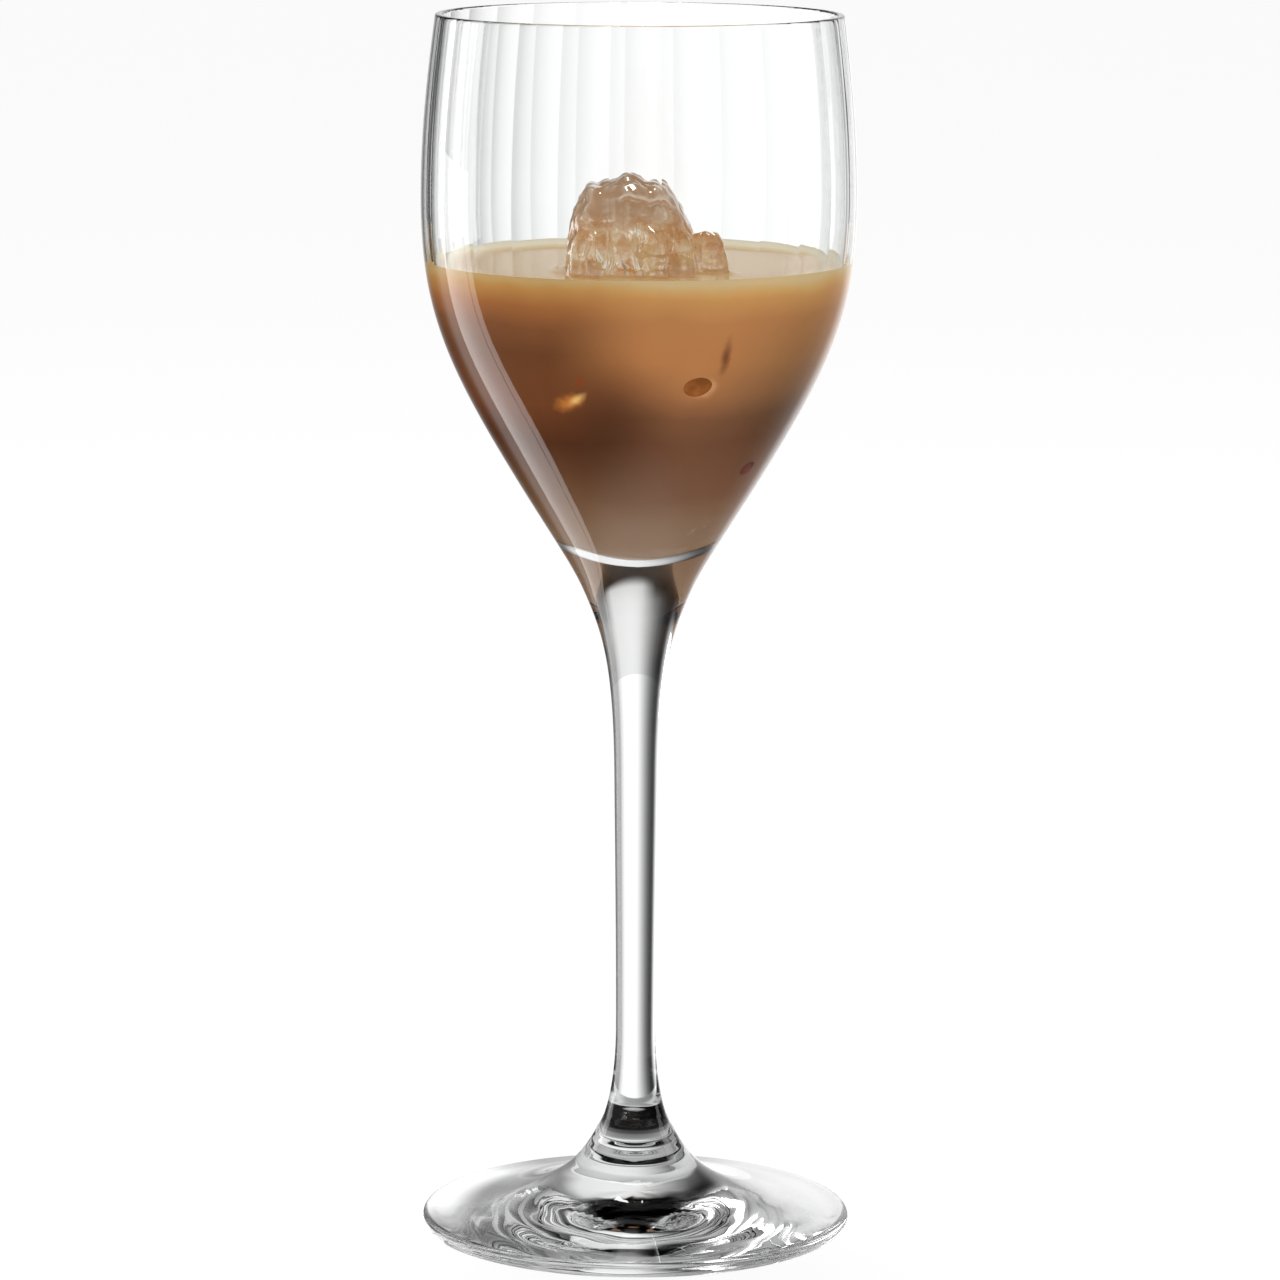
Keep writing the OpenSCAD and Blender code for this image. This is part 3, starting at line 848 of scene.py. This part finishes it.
def clear_glass():
    finish, tree, shader, output = new_finish("clear_glass")
    fill(tree, shader, Base_Color=GLASS_COLOUR, Roughness=0.0, IOR=GLASS_IOR, Transmission_Weight=1.0)
    pass_light(tree, shader, output, GLASS_PASSES)
    return finish


def weld_face():
    finish, tree, shader, output = new_finish("weld_face")
    tree.nodes.remove(shader)
    tree.links.new(tree.nodes.new("ShaderNodeBsdfTransparent").outputs[0], output.inputs[0])
    return finish


glass_finish = clear_glass()
weld_finish = weld_face()
for piece in (bowl, stem, foot):
    dress(piece, glass_finish, weld_finish)

# %% [markdown]
# The liqueur is milk, sugar and coffee: light sinks in a little and comes out warm. Subsurface scattering
# could work that out, but takes many samples behind glass. So the light and shade that it would give are
# painted into the colour by depth: painted light, pale where light enters at the top, orange below, dark
# coffee lower down, and greyer at the floor of the bowl. One set of colours is painted lit, for the right
# side, and one is painted shaded, for the left side.

# %% Colour by depth
DRINK_Z = (105, 153)
STIR, STIR_SCALE, STIR_LEVEL = 0.8, 55.0, (0.3, 0.7)
PAINTED_LIT_STOPS = [(109, (0.28, 0.18, 0.115)), (114, (0.25, 0.148, 0.09)), (118, (0.21, 0.1, 0.055)),
             (127, (0.195, 0.08, 0.038)), (131, (0.24, 0.1, 0.044)), (135, (0.43, 0.175, 0.067)),
             (140, (0.57, 0.232, 0.079)), (146, (0.59, 0.25, 0.088)), (149.3, (0.71, 0.344, 0.113)),
             (150.6, (0.77, 0.45, 0.16)), (151.8, (0.78, 0.57, 0.29))]
PAINTED_SHADED_STOPS = [(109, (0.27, 0.175, 0.11)), (114, (0.21, 0.112, 0.06)), (118, (0.17, 0.08, 0.036)),
                (127, (0.105, 0.031, 0.009)), (133, (0.185, 0.058, 0.018)), (141, (0.18, 0.064, 0.022)),
                (145, (0.26, 0.095, 0.034)), (148, (0.44, 0.16, 0.048)), (150.6, (0.63, 0.31, 0.087)),
                (151.8, (0.67, 0.43, 0.17))]


def length_ramp(tree, length, stops, low, high):
    """Colour by a length in metres, from stops in millimetres that lie between two ends."""
    share = level(tree, length, low * MM, high * MM, kind="LINEAR")
    return ramp(tree, share, [((at - low) / (high - low), colour) for at, colour in stops])


def depth_ramp(tree, stops):
    """Colour by height, stirred a little so that the bands aren't ruled lines."""
    cloud = clouds(tree, STIR_SCALE, Detail=3.0, Roughness=0.5)
    stir = level(tree, cloud, *STIR_LEVEL, -STIR * MM, STIR * MM, kind="LINEAR")
    height = maths(tree, "ADD", axes(tree, object_place(tree))["Z"], stir)
    return length_ramp(tree, height, stops, *DRINK_Z)


print("depth colours", len(PAINTED_LIT_STOPS), "lit and", len(PAINTED_SHADED_STOPS), "shaded")

# %% Patches in the drink
# Painted shade and painted glow in the cream: middle, reach, strength, colour, and whether it is laid over or
# multiplied.
PAINTED_SHADE_AND_GLOW = [((27.0, -14.0, 134.0), 24.0, 1.0, (0.47, 0.6, 0.78), "MULTIPLY"),
           ((-4.5, -21.0, 126.5), 13.0, 0.7, (0.5, 0.42, 0.36), "MULTIPLY"),
           ((-3.6, -26.5, 133.0), 10.5, 0.95, (0.54, 0.5, 0.5), "MULTIPLY"),
           ((9.0, -27.5, 136.0), 5.5, 0.6, (0.62, 0.27, 0.1), "MIX")]
# A painted glint where sunken ice would send light through the cream, in three layers, then the dark line
# where another piece's edge nears the glass and a painted highlight as a pale ring round its oval: middle,
# half width, half height, lean, softness and colour.
PAINTED_GLINT_LINE_AND_RING = [((-10.1, -24.3, 133.6), 2.7, 2.0, 0.45, 0.6, (0.62, 0.21, 0.04)),
         ((-9.0, -24.3, 134.1), 1.3, 1.5, 0.7, 0.8, (1.0, 0.6, 0.2)),
         ((-8.6, -24.3, 136.8), 1.2, 1.5, 0.2, 1.0, (0.32, 0.055, 0.014)),
         ((12.8, -26.0, 140.5), 1.0, 4.2, 0.2, 0.7, (0.2, 0.066, 0.026)),
         ((9.4, -26.5, 136.0), 2.8, 2.1, 0.1, 0.6, (0.74, 0.4, 0.18))]
OVAL_STRENGTH, OVAL_ROUGH, OVAL_ROUGH_SCALE, FRONT_Y = 0.9, 0.6, 700.0, -5.0


def near(tree, at, reach):
    """1 at a place on the piece, in millimetres, fading smoothly to 0 at a reach from it."""
    away = vector_maths(tree, "DISTANCE", object_place(tree), Vector(at) * MM)
    return level(tree, away, 0.0, reach * MM, 1.0, 0.0)


def oval(tree, at, half_w, half_h, lean, soft):
    """1 inside an oval on the front of the drink, with a soft rough edge. A lean tips it sideways."""
    off = vector_maths(tree, "SUBTRACT", object_place(tree), Vector(at) * MM)
    across = vector_maths(tree, "DOT_PRODUCT", off, Vector((1, 0, -lean)) / (half_w * MM))
    upward = vector_maths(tree, "DOT_PRODUCT", off, Vector((0, 0, 1)) / (half_h * MM))
    both = node(tree, "ShaderNodeCombineXYZ", X=across, Y=upward).outputs[0]
    rough = times(tree, clouds(tree, OVAL_ROUGH_SCALE, Detail=2.0), OVAL_ROUGH)
    away = maths(tree, "ADD", vector_maths(tree, "LENGTH", both), rough)
    in_front = level(tree, axes(tree, object_place(tree))["Y"], 0.0, FRONT_Y * MM)
    return times(tree, level(tree, away, 1.0 + OVAL_ROUGH / 2, 1.0 - soft), in_front)


print("patches", len(PAINTED_SHADE_AND_GLOW), "ovals", len(PAINTED_GLINT_LINE_AND_RING))

# %% Sides of the liqueur
PAINTED_SHADE_X = (3.0, -14.0)
CREAM_ROUGH, DRINK_IN_GLASS_IOR = 0.5, 1.36 / GLASS_IOR


def liqueur_side():
    finish, tree, shader, output = new_finish("liqueur_side")
    # Painted light and shade: the lit colours on the right, the shaded ones on the left.
    shaded = level(tree, axes(tree, object_place(tree))["X"], PAINTED_SHADE_X[0] * MM, PAINTED_SHADE_X[1] * MM)
    colour = mix_colours(tree, shaded, depth_ramp(tree, PAINTED_LIT_STOPS), depth_ramp(tree, PAINTED_SHADED_STOPS))
    # Painted shade and painted glow laid over the depth colours.
    for at, reach, strength, with_colour, blend in PAINTED_SHADE_AND_GLOW:
        colour = mix_colours(tree, times(tree, near(tree, at, reach), strength), colour, with_colour, blend)
    # The painted glint, the dark line and the painted pale ring, laid over the colour.
    for *shape, with_colour in PAINTED_GLINT_LINE_AND_RING:
        colour = mix_colours(tree, times(tree, oval(tree, *shape), OVAL_STRENGTH), colour, with_colour)
    fill(tree, shader, Base_Color=colour, Roughness=CREAM_ROUGH, Specular_IOR_Level=0.0)
    gloss = node(tree, "ShaderNodeBsdfGlossy", Roughness=0.0)
    slant = node(tree, "ShaderNodeFresnel", IOR=DRINK_IN_GLASS_IOR)
    mix_shaders(tree, slant.outputs[0], shader, gloss, output)
    return finish


# %% Top of the liqueur
# Colour by distance from the axis in millimetres, painted paler near the wall as painted light, where light
# shines through the thin film that climbs it.
TOP_COLOUR_AND_PAINTED_LIGHT = [(20, (0.7, 0.46, 0.2)), (26, (0.66, 0.4, 0.15)), (29, (0.85, 0.64, 0.36)),
             (31, (0.98, 0.9, 0.7))]
TOP_R = (18, 33)
TOP_ROUGH, TOP_IOR = 0.05, 1.12


def liqueur_top():
    finish, tree, shader, _ = new_finish("liqueur_top")
    flat_place = vector_maths(tree, "MULTIPLY", object_place(tree), (1, 1, 0))
    # Painted light: the top grows paler towards the wall.
    colour = length_ramp(tree, vector_maths(tree, "LENGTH", flat_place), TOP_COLOUR_AND_PAINTED_LIGHT, *TOP_R)
    fill(tree, shader, Base_Color=colour, Roughness=TOP_ROUGH, IOR=TOP_IOR)
    return finish


dress(drink, liqueur_side(), liqueur_top())

# %% [markdown]
# The ice is clear, but it is wet with the drink. A thin film of it colours the ice in patches, with clear
# windows between them, and the ridges are washed bare and painted pale, which is also a painted highlight in
# place of their glints. The cap is cloudier. A coat on the shader gives the wet shine, and Blender's
# pointiness finds the ridges.

# %% Wet ice
ICE_FILM, ICE_CLEAR, ICE_CAP = (0.77, 0.45, 0.24), (0.98, 0.95, 0.89), (0.6, 0.41, 0.285)
WINDOW_SCALE, WINDOW_LEVEL, BARE_RIDGE_AND_GLINT_LEVEL, CAP_Z = 300.0, (0.44, 0.56), (0.495, 0.54), (157.5, 162.0)
CLEAR_BELOW, CLEAR_CAP = 0.95, 0.55
ICE_ROUGH, ICE_IOR, WET_COAT_IOR, ICE_PASSES = 0.02, 1.31, 1.6, (0.9, 0.8, 0.66)


def wet_ice():
    finish, tree, shader, output = new_finish("wet_ice")
    window = level(tree, clouds(tree, WINDOW_SCALE, Detail=1.0), *WINDOW_LEVEL)
    pointiness = tree.nodes.new("ShaderNodeNewGeometry").outputs["Pointiness"]
    cap = level(tree, axes(tree, object_place(tree))["Z"], CAP_Z[0] * MM, CAP_Z[1] * MM)
    colour = mix_colours(tree, window, ICE_FILM, ICE_CLEAR)
    colour = mix_colours(tree, cap, colour, ICE_CAP)
    # Ridges painted pale: washed bare, and a painted highlight standing in for their glints.
    colour = mix_colours(tree, level(tree, pointiness, *BARE_RIDGE_AND_GLINT_LEVEL), colour, ICE_CLEAR)
    clear = level(tree, cap, 0.0, 1.0, CLEAR_BELOW, CLEAR_CAP, kind="LINEAR")
    fill(tree, shader, Base_Color=colour, Transmission_Weight=clear, Roughness=ICE_ROUGH, IOR=ICE_IOR,
         Coat_Weight=1.0, Coat_Roughness=ICE_ROUGH, Coat_IOR=WET_COAT_IOR)
    pass_light(tree, shader, output, ICE_PASSES)
    return finish


ice_finish = wet_ice()
for piece in (lump, chip):
    dress(piece, ice_finish)

# %% [markdown]
# Sunken ice shows only as a spot of colour at the wall, because the cream closes in front of the rest. Real
# ice there would bend light from the cream all round it, which comes to two warm tones in soft clouds. So
# that is what the finish is, with no shine, since the shine belongs to the glass in front of it.

# %% Sunken ice in the drink
SUNKEN_TONES = {"ice_cube_left": ((0.16, 0.046, 0.013), (0.8, 0.33, 0.07)),
                "ice_cube_right": ((0.29, 0.09, 0.022), (0.4, 0.13, 0.032)),
                "ice_cube_low": ((0.1, 0.025, 0.018), (0.16, 0.045, 0.03))}
SUNKEN_SCALE, SUNKEN_LEVEL = 420.0, (0.38, 0.62)


def sunken_ice(name, deep, bright):
    finish, tree, shader, _ = new_finish(name)
    cloud = level(tree, clouds(tree, SUNKEN_SCALE, Detail=2.0), *SUNKEN_LEVEL)
    colour = mix_colours(tree, cloud, deep, bright)
    fill(tree, shader, Base_Color=colour, Roughness=CREAM_ROUGH, Specular_IOR_Level=0.0)
    return finish


for cad_node, tones in SUNKEN_TONES.items():
    dress(sunken_pieces[cad_node], sunken_ice(cad_node + "_in_cream", *tones))

# %% [markdown]
# Stage and light. The picture's floor and background are plain white. Clear glass in an all-white room
# would vanish, so a photographer stands dark cards around it, out of the picture: the glass bends them into
# the dark lines along its edges. Here the ring of cards is one colour ramp over the bearing round the
# glass, and only light that has been through glass, or bounced off it, sees the cards.

# %% Which light sees the cards


def mirror_image(tree):
    """1 for light that bounced off the outside of the glass, without the light that glass has bent."""
    path = tree.nodes.new("ShaderNodeLightPath").outputs
    return maths(tree, "SUBTRACT", path["Is Glossy Ray"], path["Is Transmission Ray"], clamp=True)


def glass_sees(tree):
    """1 for light by way of glass or a shiny surface, and 1 for light straight to the camera."""
    path = tree.nodes.new("ShaderNodeLightPath").outputs
    return maths(tree, "MAXIMUM", path["Is Glossy Ray"], path["Is Transmission Ray"]), path["Is Camera Ray"]


# %% Ring of cards
# Bearing in degrees, anticlockwise from straight behind the glass, and tone: 1 is white and 0 is black.
CARD_RING = [(-180, 0.65), (-150, 0.65), (-135, 0.65), (-112, 0.6), (-95, 0.5), (-85, 0.12), (-70, 0.1),
             (-50, 0.22), (-36, 0.4), (-29, 0.82), (-22, 1.1), (-8, 1.17), (-4, 1.16), (0, 1.11), (3, 1.0),
             (6, 0.83), (11, 0.55), (16, 0.32), (22, 0.14), (29, 0.05), (36, 0.03), (41, 0.16), (46, 0.6),
             (52, 0.95), (61, 1.5), (78, 1.5), (86, 0.75), (115, 0.6), (140, 0.6), (158, 0.65), (180, 0.65)]
RING_TOP_TONE = 1.6
MIRROR_COS, MIRROR_TONE = (0.25, 0.75), 0.1


def bearing_of(tree, place):
    """Bearing in radians and height of a direction or a place on the floor."""
    part = axes(tree, place)
    return maths(tree, "ARCTAN2", times(tree, part["X"], -1.0), part["Y"]), part["Z"]


def ring_tone(tree, bearing, stops):
    """Tone at a bearing, from stops in degrees. A ramp ends at 1, so the tones are scaled to fit and back."""
    turn = level(tree, bearing, -math.pi, math.pi, kind="LINEAR")
    shares = [((degrees + 180) / 360, [tone / RING_TOP_TONE] * 3) for degrees, tone in stops]
    return times(tree, ramp(tree, turn, shares), RING_TOP_TONE)


def card_tone(tree, bearing):
    """Tone of the cards at a bearing. Mirror images on the outside of the glass see the sides darker."""
    sides = level(tree, maths(tree, "COSINE", bearing), *MIRROR_COS, MIRROR_TONE, 1.0)
    return times(tree, ring_tone(tree, bearing, CARD_RING), mix_numbers(tree, mirror_image(tree), 1.0, sides))


print("cards", len(CARD_RING), "stops")

# %% [markdown]
# The floor is a plain pale table that keeps the shadow of the glass. What the glass sees of it is another
# matter: the foot is a lens over the table, and shows its tones as swirls, with painted shade under the stem
# and pale or dark by bearing further out. The outside of the foot also mirrors a strip light that lies on the
# polished table as a wedge. A real table with real strips would do this too, with more samples.

# %% Floor
FLOOR_HALF, FLOOR_DROP = 4000.0, 0.05
floor_mesh = bpy.data.meshes.new("floor")
corners = [(-FLOOR_HALF, -FLOOR_HALF, 0), (FLOOR_HALF, -FLOOR_HALF, 0), (FLOOR_HALF, FLOOR_HALF, 0),
           (-FLOOR_HALF, FLOOR_HALF, 0)]
floor_mesh.from_pydata([Vector(c) * MM for c in corners], [], [(0, 1, 2, 3)])
floor = add_object("floor", floor_mesh)
floor.location.z = -FLOOR_DROP * MM
print("floor", 2 * FLOOR_HALF * MM, "m wide")

# %% Table under the foot
# Tones by bearing under the plate and under its edge; painted shade darkens them under the stem, and they end
# past the edge.
UNDER_RING = [(-180, 0.25), (-150, 0.3), (-110, 0.9), (-60, 1.0), (-42, 0.8), (-24, 0.8), (26, 0.8),
              (36, 0.7), (50, 0.3), (66, 0.08), (120, 0.06), (155, 0.2), (180, 0.25)]
UNDER_EDGE_RING = [(-180, 0.25), (-150, 0.3), (-110, 0.9), (-60, 1.0), (-32, 0.9), (-12, 0.35), (28, 0.25),
                   (40, 0.8), (47, 1.35), (85, 1.3), (100, 0.6), (120, 0.08), (155, 0.2), (180, 0.25)]
UNDER_EDGE_R, UNDER_R, UNDER_STEM_SHADE_TONE, UNDER_END_R = (24.0, 30.0), (9.0, 24.0), (0.015, 1.0), (34.0, 38.0)


def table_tone(tree, bearing, away):
    """Tone of the table as glass sees it: tones by bearing under the foot with painted shade under the stem,
    and the cards beyond.
    """
    to_edge = level(tree, away, UNDER_EDGE_R[0] * MM, UNDER_EDGE_R[1] * MM)
    rings = [ring_tone(tree, bearing, stops) for stops in (UNDER_RING, UNDER_EDGE_RING)]
    # Painted shade: the table grows dark under the stem.
    painted_shade_from_stem = level(tree, away, UNDER_R[0] * MM, UNDER_R[1] * MM, *UNDER_STEM_SHADE_TONE)
    under_tone = times(tree, mix_numbers(tree, to_edge, *rings), painted_shade_from_stem)
    beyond = level(tree, away, UNDER_END_R[0] * MM, UNDER_END_R[1] * MM, kind="LINEAR")
    return mix_numbers(tree, beyond, under_tone, card_tone(tree, bearing))


print("under the foot", len(UNDER_RING), "and", len(UNDER_EDGE_RING), "stops")

# %% Light mirrored in the table
# The left strip light as a wedge with a thin dark seam, seen from a point near the glass, and a glow round
# the foot.
STRIP_APEX, STRIP_BEARING, STRIP_HALF, STRIP_TONE = (23.0, -25.0, 0.0), 66.5, 12.5, 2.2
STRIP_SEAM, STRIP_SEAM_HALF = 74.5, 0.25
GLOW_R, GLOW_TONE = (50.0, 85.0), 0.5


def mirrored_light(tree, position, away):
    """Tone that only mirror images on the outside of the glass see on the table."""
    from_apex = vector_maths(tree, "SUBTRACT", position, Vector(STRIP_APEX) * MM)
    bearing, _ = bearing_of(tree, from_apex)
    wedges = [maths(tree, "COMPARE", bearing, math.radians(middle), math.radians(half))
              for middle, half in ((STRIP_BEARING, STRIP_HALF), (STRIP_SEAM, STRIP_SEAM_HALF))]
    strip = times(tree, maths(tree, "SUBTRACT", *wedges), STRIP_TONE)
    glow = level(tree, away, GLOW_R[0] * MM, GLOW_R[1] * MM, GLOW_TONE, 0.0)
    return times(tree, maths(tree, "ADD", strip, glow), mirror_image(tree))


print("strip", 2 * STRIP_HALF, "degrees wide")

# %% Finish of the floor
WHITE, FLOOR_GREY, FLOOR_LIGHT = (1, 1, 1), (0.22, 0.22, 0.22), 0.85


def pale_table():
    finish, tree, shader, output = new_finish("floor")
    fill(tree, shader, Base_Color=FLOOR_GREY, Specular_IOR_Level=0.0, Emission_Color=WHITE,
         Emission_Strength=FLOOR_LIGHT)
    position = tree.nodes.new("ShaderNodeNewGeometry").outputs["Position"]
    bearing, _ = bearing_of(tree, position)
    away = vector_maths(tree, "LENGTH", position)
    tone = maths(tree, "ADD", table_tone(tree, bearing, away), mirrored_light(tree, position, away))
    by_glass, _ = glass_sees(tree)
    mix_shaders(tree, by_glass, shader, node(tree, "ShaderNodeEmission", Strength=tone), output)
    finish.cycles.emission_sampling = "NONE"
    return finish


dress(floor, pale_table())

# %% [markdown]
# The world is the room. The camera sees it plain white, matt surfaces gather an even light from it, and
# glass sees the ring of cards, which ends at the height where real cards would. Above them it is dark,
# apart from a taller white panel behind the glass that lights the throat. A photograph of a room on the
# world would be the usual way, but this room is only a few numbers.

# %% World
AMBIENT = 0.6
CARD_TOP = (0.22, 0.5)
OVER_MIRROR_TONE = 0.05
OVER_RING = [(-180, 0.05), (-34, 0.05), (-22, 0.8), (4, 0.8), (14, 0.05), (180, 0.05)]
PANEL_TOP = (0.54, 0.44)

world = bpy.data.worlds.new("studio")
scene.world = world
world.use_nodes = True
room_tree = world.node_tree
room_tree.nodes.clear()
bearing, up = bearing_of(room_tree, room_tree.nodes.new("ShaderNodeTexCoord").outputs["Generated"])
over_cards = ring_tone(room_tree, bearing, OVER_RING)
above_cards = mix_numbers(room_tree, mirror_image(room_tree), over_cards, OVER_MIRROR_TONE)
panel = times(room_tree, above_cards, level(room_tree, up, *PANEL_TOP))
fade = level(room_tree, up, *CARD_TOP, 1.0, panel)
cards = times(room_tree, card_tone(room_tree, bearing), fade)
by_glass, by_camera = glass_sees(room_tree)
seen = mix_numbers(room_tree, by_glass, AMBIENT, cards)
background = node(room_tree, "ShaderNodeBackground", Strength=mix_numbers(room_tree, by_camera, seen, 1.0))
room_output = room_tree.nodes.new("ShaderNodeOutputWorld")
room_tree.links.new(background.outputs[0], room_output.inputs[0])
print("world of", len(room_tree.nodes), "nodes")

# %% [markdown]
# Three soft boxes give the drink its light and the glass its long white highlights. A lamp's power says
# little about how bright its face looks, so each box is set by that brightness, and its power follows from
# its size. Two of them light the glass without being seen through it, or they would wash out the dark foot.

# %% Soft boxes
AIM_AT = Vector((0, 0, 140)) * MM


def soft_box(name, bearing_deg, away, middle_z, width, height, radiance, seen_through_glass):
    """An area lamp that faces the bowl. Its power follows from how bright its face should look."""
    lamp = bpy.data.lights.new(name, "AREA")
    lamp.shape = "RECTANGLE"
    lamp.size = width * MM
    lamp.size_y = height * MM
    lamp.energy = radiance * math.pi * lamp.size * lamp.size_y
    box = add_object(name, lamp)
    b = math.radians(bearing_deg)
    box.location = Vector((-math.sin(b) * away, math.cos(b) * away, middle_z)) * MM
    box.rotation_euler = (AIM_AT - box.location).to_track_quat("-Z", "Y").to_euler()
    box.visible_camera = False
    box.visible_transmission = seen_through_glass
    print(name, round(lamp.energy, 2), "W")


soft_box("left_strip", bearing_deg=66, away=900, middle_z=150, width=420, height=520, radiance=2.2,
         seen_through_glass=True)
soft_box("right_strip", bearing_deg=-80, away=900, middle_z=380, width=300, height=900, radiance=1.2,
         seen_through_glass=False)
soft_box("top_box", bearing_deg=10, away=300, middle_z=1300, width=300, height=300, radiance=17.0,
         seen_through_glass=False)

# %% [markdown]
# Each piece now takes the place of its plain solid and rides on a body. The glass, the drink and the sunken
# ice stay together, and the lump and its chip are lifted out as one. Parenting by hand would do the same,
# but these calls also hide the plain solid that each piece stands for.

# %% Ride on the bodies
for piece, cad_node in ((bowl, "bowl"), (stem, "stem"), (foot, "foot")):
    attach(piece, "glass")
    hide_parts(cad_node)
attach(drink, "glass")
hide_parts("drink")
for piece, cad_node in ((lump, "ice_lump"), (chip, "ice_chip")):
    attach(piece, "ice")
    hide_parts(cad_node)
for cad_node, piece in sunken_pieces.items():
    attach(piece, "glass")
    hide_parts(cad_node)
print("riding", [p.name for p in (bowl, stem, foot, drink, lump, chip, *sunken_pieces.values())])
